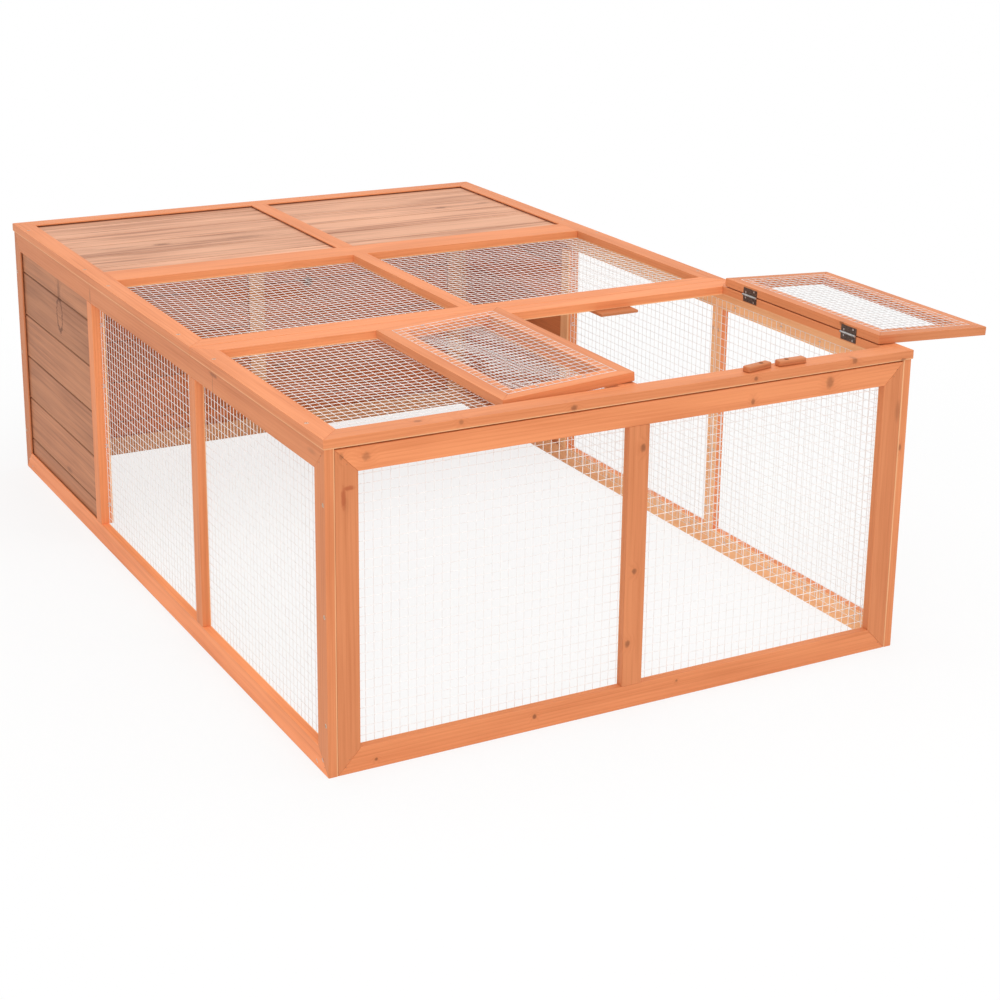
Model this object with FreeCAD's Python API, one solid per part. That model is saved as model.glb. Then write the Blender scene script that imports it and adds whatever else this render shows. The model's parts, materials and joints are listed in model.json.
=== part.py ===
import FreeCAD, Part

import math
import os

# A low outdoor pet cage of stained timber frames. Two side walls, a front wall and a rear wall
# carry a roof of two frames, and the front roof frame has a hatch with a pair of hinged doors.
# Millimetres, +X right seen from the front, +Y to the back, +Z up.
# The origin is on the ground, under the middle of the walls.

# Overall sizes
ROOF_LENGTH = 1500.0
ROOF_WIDTH = 1000.0
HEIGHT = 500.0
OVERHANG = 2.0
FRONT_ROOF_LENGTH = 507.0

# Timber of the walls
STOCK = 15.0
TOP_RAIL = 35.0
BASE_RAIL = 37.0
CORNER_STILE = 35.0
SIDE_STILE = 28.0
BOARD_STILE_DEPTH = 23.0
CENTRE_STILE = 35.0
FRONT_BAY = 459.0
BOARD_BAY = 421.0
END_WALL_DROP = 2.5

# Timber of the roof
ROOF_SIDE_RAIL = 35.0
ROOF_CROSS_RAIL = 37.0
ROOF_MIDDLE_RAIL = 68.0
REAR_BAR = 33.0
MIDDLE_BAR = 29.0
CENTRE_BAR = 30.0
ROOF_BOARD_BAY = 428.0
ROOF_SEAM = 0.6

# Boards of the shelter
BOARD = 8.0
BOARD_JOINT = 1.0
NARROWEST_BOARD = 12.0
WALL_BOARD_PITCH = 85.2
WALL_TOP_BOARD = 41.0
WALL_BOARD_LAP = 6.0
ROOF_BOARD_PITCH = 86.5
ROOF_REAR_BOARD = 41.0
ROOF_BOARD_LAP = 10.0
BOARD_DROP = 5.0

# Welded wire mesh, drawn at every second wire
WIRE = 0.8
WIRE_PITCH = 13.7
WIRES_PER_GAP = 2
MESH_LAP = 12.0
MESH_PLAY = 0.5
RAIL_LAP = 18.0

# Hatch doors
DOOR_FRAME = 35.0
DOOR_PLAY = 0.3
DOOR_END_GAP = 6.5
DOOR_MEET_GAP = 3.0
DOOR_MESH_INSET = 19.0
DOOR_REST_PLAY = 0.05

# Hinges of the doors
HINGE_LENGTH = 38.0
HINGE_INSET = 75.0
HINGE_LEAF = 1.0
HINGE_LEAF_HEIGHT = 10.0
HINGE_BARREL_R = 1.9
HINGE_BARREL_PLAY = 0.1
HINGE_KNUCKLES = 5
HINGE_KNUCKLE_PLAY = 0.2
HINGE_PIN_R = 0.9
HINGE_PIN_PLAY = 0.05
HINGE_PIN_RISE = 0.85

# Ledges that stop the doors
LEDGE = 5.0
LEDGE_LENGTH = 72.0
LEDGE_REACH = 24.0
LEDGE_LAP = 18.0
LEDGE_CLEAR = 1.5

# Turn buttons
BUTTON_LENGTH = 50.0
BUTTON_WIDTH = 14.0
BUTTON_HEIGHT = 9.0
BUTTON_LONG_ARM = 33.0
BUTTON_SPACING = 47.0
BUTTON_SHIFT = 6.5
BUTTON_SET_IN = 20.0
BUTTON_PLAY = 0.1
BUTTON_CORNER = 1.5
LEFT_BUTTON_TURN = 12.0
BUTTON_SCREW_R = 1.8
BUTTON_SCREW_DEPTH = 12.0
BUTTON_HEAD_R = 3.4
BUTTON_HEAD = 2.4
BUTTON_RECESS = 3.5
BUTTON_RECESS_PLAY = 0.4

# Screws between the frames
SCREW_R = 1.75
SCREW_HEAD_R = 3.5
SCREW_LENGTH = 40.0
SCREW_SINK = 0.2
SCREW_PLAY = 0.05
ROOF_SCREW_INSET = 78.0
ROOF_SCREW_SPREAD = 66.0
WALL_SCREW_INSET = 78.0

# One overrun for every cut
OVERRUN = 1.0

# Places that the walls and the roof share
WALL_TOP = HEIGHT - STOCK
WALL_X = ROOF_WIDTH / 2 - OVERHANG
WALL_Y = ROOF_LENGTH / 2 - OVERHANG
INSIDE_X = WALL_X - STOCK
INSIDE_Y = WALL_Y - STOCK
END_WALL_TOP = WALL_TOP - END_WALL_DROP
WALL_TOP_SEAM = WALL_TOP - TOP_RAIL - WALL_TOP_BOARD
ROOF_X = ROOF_WIDTH / 2
ROOF_Y = ROOF_LENGTH / 2
SEAM_Y = FRONT_ROOF_LENGTH - ROOF_Y
BOARD_STILE_Y = WALL_Y - CORNER_STILE - BOARD_BAY - SIDE_STILE
MIDDLE_STILE_Y = CORNER_STILE + FRONT_BAY - WALL_Y

# The hatch and its doors
HATCH_LEFT = CENTRE_BAR / 2
HATCH_RIGHT = ROOF_X - ROOF_SIDE_RAIL
HATCH_FRONT = ROOF_CROSS_RAIL - ROOF_Y
HATCH_BACK = SEAM_Y - ROOF_CROSS_RAIL
HATCH_MIDDLE = (HATCH_LEFT + HATCH_RIGHT) / 2
HINGE_GAP = 2 * (HINGE_BARREL_R + HINGE_BARREL_PLAY)
DOOR_WIDTH = (HATCH_RIGHT - HATCH_LEFT - DOOR_MEET_GAP) / 2 - HINGE_GAP
DOOR_FRONT = HATCH_FRONT + DOOR_END_GAP
DOOR_BACK = HATCH_BACK - DOOR_END_GAP
DOOR_MESH_END_INSET = LEDGE_REACH - DOOR_END_GAP + LEDGE_CLEAR
DOOR_TOP = HEIGHT - DOOR_PLAY
DOOR_BOTTOM = WALL_TOP + DOOR_PLAY
PIN_Z = HEIGHT + HINGE_PIN_RISE

# Axes of the planes that the frames lie in: along, up and through
PLANES = {"side": (1, 2, 0), "end": (0, 2, 1), "roof": (0, 1, 2)}
HALF_TURN = 180.0
TURN_AXIS = FreeCAD.Vector(0, 1, 0)
UP = FreeCAD.Vector(0, 0, 1)


def point(plane, along, up, through):
    """A point given in a plane's own directions."""
    place = [0, 0, 0]
    for axis, value in zip(PLANES[plane], (along, up, through)):
        place[axis] = value
    return FreeCAD.Vector(*place)


def rectangle(plane, u0, u1, v0, v1, through):
    """A closed wire round a rectangle."""
    corners = [(u0, v0), (u1, v0), (u1, v1), (u0, v1), (u0, v0)]
    return Part.makePolygon([point(plane, u, v, through) for u, v in corners])


def prism(plane, outline, low, high):
    """A straight-sided solid between two depths of a plane."""
    wire = Part.makePolygon([point(plane, u, v, low) for u, v in outline + outline[:1]])
    return Part.Face(wire).extrude(point(plane, 0, 0, high - low))


def block(plane, u0, u1, v0, v1, low, high):
    """A rectangular piece."""
    return prism(plane, [(u0, v0), (u1, v0), (u1, v1), (u0, v1)], low, high)


def mitred_frame(plane, u0, u1, v0, v1, side, base, top, low, high):
    """Two stiles and two rails that meet in mitres: left, right, base, top."""
    a0, a1 = u0 + side, u1 - side
    b0, b1 = v0 + base, v1 - top
    outlines = (
        [(u0, v0), (a0, b0), (a0, b1), (u0, v1)],
        [(u1, v0), (u1, v1), (a1, b1), (a1, b0)],
        [(u0, v0), (u1, v0), (a1, b0), (a0, b0)],
        [(u0, v1), (a0, b1), (a1, b1), (u1, v1)],
    )
    return [prism(plane, outline, low, high) for outline in outlines]


def net(plane, u0, u1, v0, v1, low):
    """Wire mesh as one holed face, a wire thick."""
    gap = WIRE_PITCH * WIRES_PER_GAP
    columns = max(1, round((u1 - u0 - WIRE) / gap))
    rows = max(1, round((v1 - v0 - WIRE) / gap))
    step_u = (u1 - u0 - WIRE) / columns
    step_v = (v1 - v0 - WIRE) / rows
    wires = [rectangle(plane, u0, u1, v0, v1, low)]
    for column in range(columns):
        hole_u = u0 + WIRE + column * step_u
        for row in range(rows):
            hole_v = v0 + WIRE + row * step_v
            hole = rectangle(plane, hole_u, hole_u + step_u - WIRE, hole_v, hole_v + step_v - WIRE, low)
            wires.append(hole)
    return Part.Face(wires).extrude(point(plane, 0, 0, WIRE))


def board_edges(low, high, first, pitch):
    """Edges of a field of boards laid from its high edge, the last one cut to fit."""
    edges = [high]
    seam = high - first
    while seam > low + NARROWEST_BOARD:
        edges.append(seam)
        seam -= pitch
    return edges + [low]


def boards(plane, u0, u1, edges, low, high):
    """Boards side by side, a joint apart."""
    half = BOARD_JOINT / 2
    pieces = []
    for number, (upper, lower) in enumerate(zip(edges, edges[1:])):
        top = upper - (half if number else 0)
        base = lower + (half if number < len(edges) - 2 else 0)
        pieces.append(block(plane, u0, u1, base, top, low, high))
    return pieces


def rebated_boards(plane, spans, edges, low, high, open_face):
    """Fields of boards side by side, and the rebates for them, cut in from one face of their frame."""
    fields = []
    rebates = []
    for u0, u1 in spans:
        fields += boards(plane, u0, u1, edges, low, high)
        rebates.append(block(plane, u0, u1, edges[-1], edges[0], min(low, open_face), max(high, open_face)))
    return fields, Part.makeCompound(rebates)


def wall_boards(plane, spans, clear_top, face, back, open_face):
    """Fields of boards lapped behind a wall's frame, their seams level on every wall, and their rebates."""
    field_base, field_top = BASE_RAIL - WALL_BOARD_LAP, clear_top + WALL_BOARD_LAP
    edges = board_edges(field_base, field_top, field_top - WALL_TOP_SEAM, WALL_BOARD_PITCH)
    return rebated_boards(plane, spans, edges, min(face, back), max(face, back), open_face)


def cylinder(radius, base, direction, length):
    """A round bar from a point along a direction."""
    return Part.makeCylinder(radius, length, base, direction)


def frame_screw(face, direction, play):
    """A countersunk screw driven from a face, or its hole with some play."""
    head = SCREW_HEAD_R - SCREW_R
    start = face + direction * SCREW_SINK
    shank = cylinder(SCREW_R + play, start, direction, SCREW_LENGTH + play)
    cone = Part.makeCone(SCREW_HEAD_R + play, SCREW_R + play, head, start, direction)
    body = shank.fuse(cone)
    if play:
        mouth = cylinder(SCREW_HEAD_R + play, face - direction * SCREW_SINK, direction, 2 * SCREW_SINK)
        body = body.fuse(mouth)
    return body.removeSplitter()


def side_wall(name, side):
    """One side wall. side is -1 on the left and 1 on the right."""
    inner, outer = sorted((side * INSIDE_X, side * WALL_X), key=abs)
    low, high = min(inner, outer), max(inner, outer)
    front, rear, base, top = mitred_frame(
        "side", -WALL_Y, WALL_Y, 0, WALL_TOP, CORNER_STILE, BASE_RAIL, TOP_RAIL, low, high)
    clear_base, clear_top = BASE_RAIL, WALL_TOP - TOP_RAIL
    middle_back = MIDDLE_STILE_Y + SIDE_STILE
    mesh_low = inner - WIRE if side > 0 else inner
    net_base, net_top = clear_base - RAIL_LAP, clear_top + RAIL_LAP
    front_clear = CORNER_STILE - WALL_Y
    stile_back = BOARD_STILE_Y + SIDE_STILE
    stile_low, stile_high = sorted((outer, outer - side * BOARD_STILE_DEPTH))
    stile = block("side", BOARD_STILE_Y, stile_back, clear_base, clear_top, stile_low, stile_high)

    face = outer - side * BOARD_DROP
    spans = ((stile_back - WALL_BOARD_LAP, WALL_Y - CORNER_STILE + WALL_BOARD_LAP),)
    field, rebates = wall_boards("side", spans, clear_top, face, face - side * BOARD, inner - side * OVERRUN)
    rear, base, top, stile = [piece.cut(rebates) for piece in (rear, base, top, stile)]
    return {
        name + "_top_rail": [top],
        name + "_bottom_rail": [base],
        name + "_front_stile": [front],
        name + "_rear_stile": [rear],
        name + "_middle_stile": [
            block("side", MIDDLE_STILE_Y, middle_back, clear_base, clear_top, low, high)],
        name + "_board_stile": [stile],
        name + "_front_mesh": [
            net("side", front_clear - MESH_LAP, MIDDLE_STILE_Y + MESH_LAP, net_base, net_top, mesh_low)],
        name + "_middle_mesh": [
            net("side", middle_back - MESH_LAP, BOARD_STILE_Y - MESH_PLAY, net_base, net_top, mesh_low)],
        name + "_boards": field,
    }


def front_wall():
    """The mesh wall between the front ends of the side walls."""
    left, right, base, top = mitred_frame(
        "end", -INSIDE_X, INSIDE_X, 0, END_WALL_TOP, CORNER_STILE, BASE_RAIL, TOP_RAIL, -WALL_Y, -INSIDE_Y)
    half = CENTRE_STILE / 2
    clear_top = END_WALL_TOP - TOP_RAIL
    outer, inner = INSIDE_X - CORNER_STILE + MESH_LAP, half - MESH_LAP
    net_base, net_top = BASE_RAIL - RAIL_LAP, clear_top + RAIL_LAP
    return {
        "front_top_rail": [top],
        "front_bottom_rail": [base],
        "front_corner_stiles": [left, right],
        "front_centre_stile": [block("end", -half, half, BASE_RAIL, clear_top, -WALL_Y, -INSIDE_Y)],
        "front_left_mesh": [net("end", -outer, -inner, net_base, net_top, -INSIDE_Y)],
        "front_right_mesh": [net("end", inner, outer, net_base, net_top, -INSIDE_Y)],
    }


def rear_wall():
    """The boarded wall between the rear ends of the side walls, its frame on the inside."""
    left, right, base, top = mitred_frame(
        "end", -INSIDE_X, INSIDE_X, 0, END_WALL_TOP, CORNER_STILE, BASE_RAIL, TOP_RAIL, INSIDE_Y, WALL_Y)
    half = CENTRE_STILE / 2
    clear_top = END_WALL_TOP - TOP_RAIL
    centre = block("end", -half, half, BASE_RAIL, clear_top, INSIDE_Y, WALL_Y)

    inner, outer = half - WALL_BOARD_LAP, INSIDE_X - CORNER_STILE + WALL_BOARD_LAP
    spans = ((-outer, -inner), (inner, outer))
    face = INSIDE_Y + BOARD_DROP
    fields, rebates = wall_boards("end", spans, clear_top, face, face + BOARD, WALL_Y + OVERRUN)
    left, right, base, top, centre = [piece.cut(rebates) for piece in (left, right, base, top, centre)]
    return {
        "rear_top_rail": [top],
        "rear_bottom_rail": [base],
        "rear_corner_stiles": [left, right],
        "rear_centre_stile": [centre],
        "rear_boards": fields,
    }


def rear_roof():
    """The long roof frame: boards over the shelter, mesh over the middle of the run."""
    front_y = SEAM_Y + ROOF_SEAM
    left, right, front, rear = mitred_frame(
        "roof", -ROOF_X, ROOF_X, front_y, ROOF_Y,
        ROOF_SIDE_RAIL, ROOF_CROSS_RAIL, ROOF_CROSS_RAIL, WALL_TOP, HEIGHT)
    clear_x = ROOF_X - ROOF_SIDE_RAIL
    board_back = ROOF_Y - ROOF_CROSS_RAIL
    board_front = board_back - ROOF_BOARD_BAY
    mesh_back = board_front - ROOF_MIDDLE_RAIL
    mesh_front = front_y + ROOF_CROSS_RAIL
    middle = block("roof", -clear_x, clear_x, mesh_back, board_front, WALL_TOP, HEIGHT)
    rear_bar = block("roof", -REAR_BAR / 2, REAR_BAR / 2, board_front, board_back, WALL_TOP, HEIGHT)
    middle_bar = block("roof", -MIDDLE_BAR / 2, MIDDLE_BAR / 2, mesh_front, mesh_back, WALL_TOP, HEIGHT)

    field_back, field_front = board_back + ROOF_BOARD_LAP, board_front - ROOF_BOARD_LAP
    board_top = HEIGHT - BOARD_DROP
    edges = board_edges(field_front, field_back, ROOF_REAR_BOARD, ROOF_BOARD_PITCH)
    inner, outer = REAR_BAR / 2 - ROOF_BOARD_LAP, clear_x + ROOF_BOARD_LAP
    spans = ((-outer, -inner), (inner, outer))
    fields, rebates = rebated_boards("roof", spans, edges, board_top - BOARD, board_top, WALL_TOP - OVERRUN)
    left, right, rear, middle, rear_bar = [
        piece.cut(rebates) for piece in (left, right, rear, middle, rear_bar)]

    net_in, net_out = MIDDLE_BAR / 2 - MESH_LAP, clear_x + MESH_LAP
    net_front, net_back = mesh_front - MESH_LAP, mesh_back + MESH_LAP
    return {
        "rear_roof_left_rail": [left],
        "rear_roof_right_rail": [right],
        "rear_roof_front_rail": [front],
        "rear_roof_rear_rail": [rear],
        "rear_roof_middle_rail": [middle],
        "rear_roof_rear_bar": [rear_bar],
        "rear_roof_middle_bar": [middle_bar],
        "rear_roof_boards": fields,
        "rear_roof_left_mesh": [net("roof", -net_out, -net_in, net_front, net_back, WALL_TOP - WIRE)],
        "rear_roof_right_mesh": [net("roof", net_in, net_out, net_front, net_back, WALL_TOP - WIRE)],
    }


def front_roof():
    """The short roof frame: mesh on its left half and the hatch on its right half."""
    left, right, front, rear = mitred_frame(
        "roof", -ROOF_X, ROOF_X, -ROOF_Y, SEAM_Y,
        ROOF_SIDE_RAIL, ROOF_CROSS_RAIL, ROOF_CROSS_RAIL, WALL_TOP, HEIGHT)
    bar = block("roof", -CENTRE_BAR / 2, CENTRE_BAR / 2, HATCH_FRONT, HATCH_BACK, WALL_TOP, HEIGHT)
    mesh = net("roof", -HATCH_RIGHT - MESH_LAP, MESH_LAP - HATCH_LEFT,
               HATCH_FRONT - MESH_LAP, HATCH_BACK + MESH_LAP, WALL_TOP - WIRE)
    ledge_x = HATCH_MIDDLE - LEDGE_LENGTH / 2, HATCH_MIDDLE + LEDGE_LENGTH / 2
    ledge_ys = (
        (HATCH_FRONT - LEDGE_LAP, HATCH_FRONT + LEDGE_REACH),
        (HATCH_BACK - LEDGE_REACH, HATCH_BACK + LEDGE_LAP),
    )
    ledges = [block("roof", *ledge_x, *ledge_y, WALL_TOP - LEDGE, WALL_TOP) for ledge_y in ledge_ys]
    return {
        "front_roof_left_rail": [left],
        "front_roof_right_rail": [right],
        "front_roof_front_rail": [front],
        "front_roof_rear_rail": [rear],
        "front_roof_centre_bar": [bar],
        "front_roof_mesh": [mesh],
        "door_stop_ledges": ledges,
    }


def rest_tilt(bar_width):
    """How far past half a turn an open door leans on the far edge of the bar that it is hinged to."""
    reach = math.hypot(HINGE_GAP / 2 + bar_width, HINGE_PIN_RISE)
    drop = HINGE_PIN_RISE + DOOR_PLAY - DOOR_REST_PLAY
    return math.degrees(math.asin(drop / reach) + math.asin(HINGE_PIN_RISE / reach))


def hinge_leaf(pin_x, away, back, knuckles):
    """A hinge leaf at a pin, on the side that away points to, with every second knuckle."""
    length = HINGE_LENGTH / HINGE_KNUCKLES
    face = pin_x + away * HINGE_GAP / 2
    low, high = sorted((face, face - away * HINGE_LEAF))
    plate_top = PIN_Z - HINGE_BARREL_R - HINGE_KNUCKLE_PLAY
    front = back - HINGE_LENGTH
    leaf = block("side", front, back, plate_top - HINGE_LEAF_HEIGHT, plate_top, low, high)
    for number in knuckles:
        start = front + number * length + HINGE_KNUCKLE_PLAY / 2
        end = start + length - HINGE_KNUCKLE_PLAY
        barrel = cylinder(HINGE_BARREL_R, FreeCAD.Vector(pin_x, start, PIN_Z), TURN_AXIS, end - start)
        web = block("side", start, end, plate_top - HINGE_LEAF, PIN_Z, low, high)
        leaf = leaf.fuse([barrel, web])
    bore = cylinder(HINGE_PIN_R + HINGE_PIN_PLAY, FreeCAD.Vector(pin_x, front - OVERRUN, PIN_Z),
                    TURN_AXIS, HINGE_LENGTH + 2 * OVERRUN)
    return leaf.cut(bore).removeSplitter()


def hatch_door(name, side):
    """One door with its hinges, swung open on to the roof. side is -1 on the left and 1 on the right."""
    rail_face = HATCH_RIGHT if side > 0 else HATCH_LEFT
    bar_width = ROOF_SIDE_RAIL if side > 0 else CENTRE_BAR
    pin_x = rail_face - side * HINGE_GAP / 2
    hinge_edge = rail_face - side * HINGE_GAP
    u0, u1 = sorted((hinge_edge, hinge_edge - side * DOOR_WIDTH))
    stiles_and_rails = mitred_frame(
        "roof", u0, u1, DOOR_FRONT, DOOR_BACK, DOOR_FRAME, DOOR_FRAME, DOOR_FRAME, DOOR_BOTTOM, DOOR_TOP)
    mesh = net("roof", u0 + DOOR_MESH_INSET, u1 - DOOR_MESH_INSET,
               DOOR_FRONT + DOOR_MESH_END_INSET, DOOR_BACK - DOOR_MESH_END_INSET, DOOR_BOTTOM - WIRE)
    backs = [DOOR_FRONT + HINGE_INSET + HINGE_LENGTH / 2, DOOR_BACK - HINGE_INSET + HINGE_LENGTH / 2]
    fixed = range(0, HINGE_KNUCKLES, 2)
    moving = range(1, HINGE_KNUCKLES, 2)
    door = {
        name + "_stiles": stiles_and_rails[:2],
        name + "_rails": stiles_and_rails[2:],
        name + "_mesh": [mesh],
        name + "_hinge_leaves": [hinge_leaf(pin_x, -side, back, moving) for back in backs],
    }
    opened = side * (HALF_TURN + rest_tilt(bar_width))
    for pieces in door.values():
        for piece in pieces:
            piece.rotate(FreeCAD.Vector(pin_x, 0, PIN_Z), TURN_AXIS, opened)
    leaves = [hinge_leaf(pin_x, side, back, fixed) for back in backs]
    pins = [cylinder(HINGE_PIN_R, FreeCAD.Vector(pin_x, back - HINGE_LENGTH, PIN_Z), TURN_AXIS, HINGE_LENGTH)
            for back in backs]
    return door, leaves, pins


def turn_button(side, turn):
    """A wooden turn button, its screw and the hole for it. side is -1 on the left and 1 on the right."""
    screw_x = HATCH_MIDDLE + BUTTON_SHIFT + side * BUTTON_SPACING / 2
    screw_y = BUTTON_SET_IN - ROOF_Y
    base = HEIGHT + BUTTON_PLAY
    top = base + BUTTON_HEIGHT
    ends = sorted((screw_x + side * BUTTON_LONG_ARM, screw_x - side * (BUTTON_LENGTH - BUTTON_LONG_ARM)))
    half = BUTTON_WIDTH / 2
    button = block("roof", *ends, screw_y - half, screw_y + half, base, top)
    uprights = [edge for edge in button.Edges if edge.BoundBox.ZLength > BUTTON_HEIGHT / 2]
    button = button.makeFillet(BUTTON_CORNER, uprights)
    seat = top - BUTTON_RECESS
    centre = FreeCAD.Vector(screw_x, screw_y, base)
    seat_centre = FreeCAD.Vector(screw_x, screw_y, seat)
    button = button.cut([
        cylinder(BUTTON_SCREW_R + SCREW_PLAY, centre - UP * OVERRUN, UP, BUTTON_HEIGHT + OVERRUN),
        cylinder(BUTTON_HEAD_R + BUTTON_RECESS_PLAY, seat_centre, UP, BUTTON_RECESS + OVERRUN),
    ])
    button.rotate(centre, UP, turn)
    tip = FreeCAD.Vector(screw_x, screw_y, HEIGHT - BUTTON_SCREW_DEPTH)
    shank = seat + SCREW_PLAY - tip.z
    screw = cylinder(BUTTON_SCREW_R, tip, UP, shank + BUTTON_HEAD / 2)
    screw = screw.fuse(cylinder(BUTTON_HEAD_R, tip + UP * shank, UP, BUTTON_HEAD)).removeSplitter()
    hole = cylinder(BUTTON_SCREW_R + SCREW_PLAY, tip - UP * SCREW_PLAY, UP, BUTTON_SCREW_DEPTH + OVERRUN)
    return button, screw, hole


def frame_screw_places():
    """Where each frame screw starts and which way it is driven."""
    middle_rail = ROOF_Y - ROOF_CROSS_RAIL - ROOF_BOARD_BAY - ROOF_MIDDLE_RAIL / 2
    roof_ys = (
        ROOF_SCREW_INSET - ROOF_Y,
        SEAM_Y - ROOF_SCREW_INSET,
        SEAM_Y + ROOF_SCREW_INSET,
        middle_rail - ROOF_SCREW_SPREAD,
        middle_rail + ROOF_SCREW_SPREAD,
        ROOF_Y - ROOF_SCREW_INSET,
    )
    wall_zs = (WALL_SCREW_INSET, END_WALL_TOP / 2, END_WALL_TOP - WALL_SCREW_INSET)
    places = []
    for side in (-1, 1):
        for y in roof_ys:
            places.append((FreeCAD.Vector(side * (WALL_X + INSIDE_X) / 2, y, HEIGHT), -UP))
        for end in (-1, 1):
            for z in wall_zs:
                start = FreeCAD.Vector(side * WALL_X, end * (WALL_Y + INSIDE_Y) / 2, z)
                places.append((start, FreeCAD.Vector(-side, 0, 0)))
    return places


def drill(nodes, holes):
    """Cut holes in the timber that they run through."""
    for pieces in nodes.values():
        for number in range(len(pieces)):
            for hole in holes:
                if pieces[number].BoundBox.intersect(hole.BoundBox):
                    pieces[number] = pieces[number].cut(hole)


def build():
    """Every node of the cage, by name."""
    nodes = {}
    for name, side in (("left", -1), ("right", 1)):
        nodes.update(side_wall(name, side))
    nodes.update(front_wall())
    nodes.update(rear_wall())
    nodes.update(rear_roof())
    nodes.update(front_roof())

    places = frame_screw_places()
    holes = [frame_screw(face, direction, SCREW_PLAY) for face, direction in places]
    left_button, left_screw, left_hole = turn_button(-1, LEFT_BUTTON_TURN)
    right_button, right_screw, right_hole = turn_button(1, 0)
    drill(nodes, holes + [left_hole, right_hole])

    nodes["frame_screws"] = [frame_screw(face, direction, 0) for face, direction in places]
    nodes["left_turn_button"] = [left_button]
    nodes["right_turn_button"] = [right_button]
    nodes["turn_button_screws"] = [left_screw, right_screw]

    left_door, left_leaves, left_pins = hatch_door("left_door", -1)
    right_door, right_leaves, right_pins = hatch_door("right_door", 1)
    nodes.update(left_door)
    nodes.update(right_door)
    nodes["roof_hinge_leaves"] = left_leaves + right_leaves
    nodes["hinge_pins"] = left_pins + right_pins
    return nodes


os.makedirs("parts", exist_ok=True)
for node, pieces in build().items():
    shape = pieces[0] if len(pieces) == 1 else Part.makeCompound(pieces)
    shape.exportStep("parts/" + node + ".step")
print("left door leans", rest_tilt(CENTRE_BAR), "right door leans", rest_tilt(ROOF_SIDE_RAIL))
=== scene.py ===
"""An outdoor pet cage: stained timber frames, boards, wire mesh, hinged hatch doors and fixings."""
import json
import math
import random

import bmesh
import bpy
from mathutils import Matrix, Vector, noise

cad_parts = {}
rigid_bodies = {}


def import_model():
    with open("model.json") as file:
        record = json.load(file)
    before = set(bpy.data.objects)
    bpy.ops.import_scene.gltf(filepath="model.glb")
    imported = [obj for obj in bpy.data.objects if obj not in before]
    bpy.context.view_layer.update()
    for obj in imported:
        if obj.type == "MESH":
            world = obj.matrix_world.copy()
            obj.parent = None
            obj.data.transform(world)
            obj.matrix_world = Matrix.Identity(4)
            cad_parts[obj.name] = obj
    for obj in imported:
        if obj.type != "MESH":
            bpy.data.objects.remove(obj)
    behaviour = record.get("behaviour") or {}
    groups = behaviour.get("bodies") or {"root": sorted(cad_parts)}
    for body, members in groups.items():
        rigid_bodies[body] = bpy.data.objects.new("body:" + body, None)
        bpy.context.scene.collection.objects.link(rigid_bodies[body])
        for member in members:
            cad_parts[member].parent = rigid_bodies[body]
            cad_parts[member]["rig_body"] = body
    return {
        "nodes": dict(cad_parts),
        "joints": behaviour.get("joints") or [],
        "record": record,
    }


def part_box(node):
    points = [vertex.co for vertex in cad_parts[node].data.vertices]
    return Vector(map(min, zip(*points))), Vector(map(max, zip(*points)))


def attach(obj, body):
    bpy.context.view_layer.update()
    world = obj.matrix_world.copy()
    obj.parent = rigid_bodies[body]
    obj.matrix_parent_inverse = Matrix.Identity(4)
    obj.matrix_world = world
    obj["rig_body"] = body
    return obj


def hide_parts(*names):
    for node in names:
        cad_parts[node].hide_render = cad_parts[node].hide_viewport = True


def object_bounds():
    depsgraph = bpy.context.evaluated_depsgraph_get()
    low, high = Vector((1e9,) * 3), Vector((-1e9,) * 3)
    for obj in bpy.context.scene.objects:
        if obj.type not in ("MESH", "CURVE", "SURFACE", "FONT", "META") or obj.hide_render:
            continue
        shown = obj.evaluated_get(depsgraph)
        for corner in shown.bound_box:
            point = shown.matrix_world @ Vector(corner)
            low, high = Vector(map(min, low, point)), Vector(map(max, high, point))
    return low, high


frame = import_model()
cad_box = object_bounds()
bpy.ops.object.select_all(action="DESELECT")

# Lengths below are in metres
CAGE_MIDDLE = Vector((0, 0, 0.25))
NEAR = 0.0004
MERGE = NEAR / 100
QUARTER_TURN = math.pi / 2

# How closely a face or an edge has to follow a direction to be picked
ALIGNED = 0.99
FACING = 0.9
MOSTLY = 0.5
LEVEL = 0.1

# Planed timber
ARRIS = 0.0012
SAWN_EASE = 0.0004
ARRIS_STEPS = 2
SMOOTH_ANGLE = math.radians(40)

# Tongued boards
BOARD_ARRIS = 0.0017
TONGUE = 0.0049
GROOVE = 0.0042
TONGUE_SHARE = 0.36
REBATE_PLAY = 0.0002
REBATE_CRACK = 0.0025

# Welded mesh
WIRE = 0.0009
WIRE_PITCH = 0.0137
WIRE_SIDES = 6
WIRE_CUTS = 7
WIRE_SMOOTH_ANGLE = math.radians(65)
WIRE_WELD_SHARE = 0.12
WIRE_WANDER = 0.0005
WIRE_WANDER_LENGTH = 0.09
WIRE_WANDER_SEED = 1
ROOF_SAG = 0.0022
ROOF_RIPPLE = 0.0065
ROOF_RIPPLE_LENGTH = 0.15
DOOR_MESH_PRESS = 0.0004

# Staples over the edges of the mesh, and over the corners of the side walls
STAPLE_CROWN = 0.0066
STAPLE_WIRE = 0.0009
STAPLE_LEG = 0.004
STAPLE_SPACING = 0.11
STAPLE_INSET = 0.006
STAPLE_LIFT = 0.0002
STAPLE_STEPS = 2
CORNER_STAPLES = ((0.019, 0.0205), (0.0395, 0.0104))

# Brads in the corners of the walls, from the outer corner of each frame
BRAD_R = 0.0009
BRAD_HEIGHT = 0.0012
BRAD_PROUD = 0.0001
BRAD_SIDES = 10
BRAD_DIMPLE_SHARE = 0.35
BRAD_PLACES = ((0.0122, 0.0115), (0.0175, 0.0222))

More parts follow.
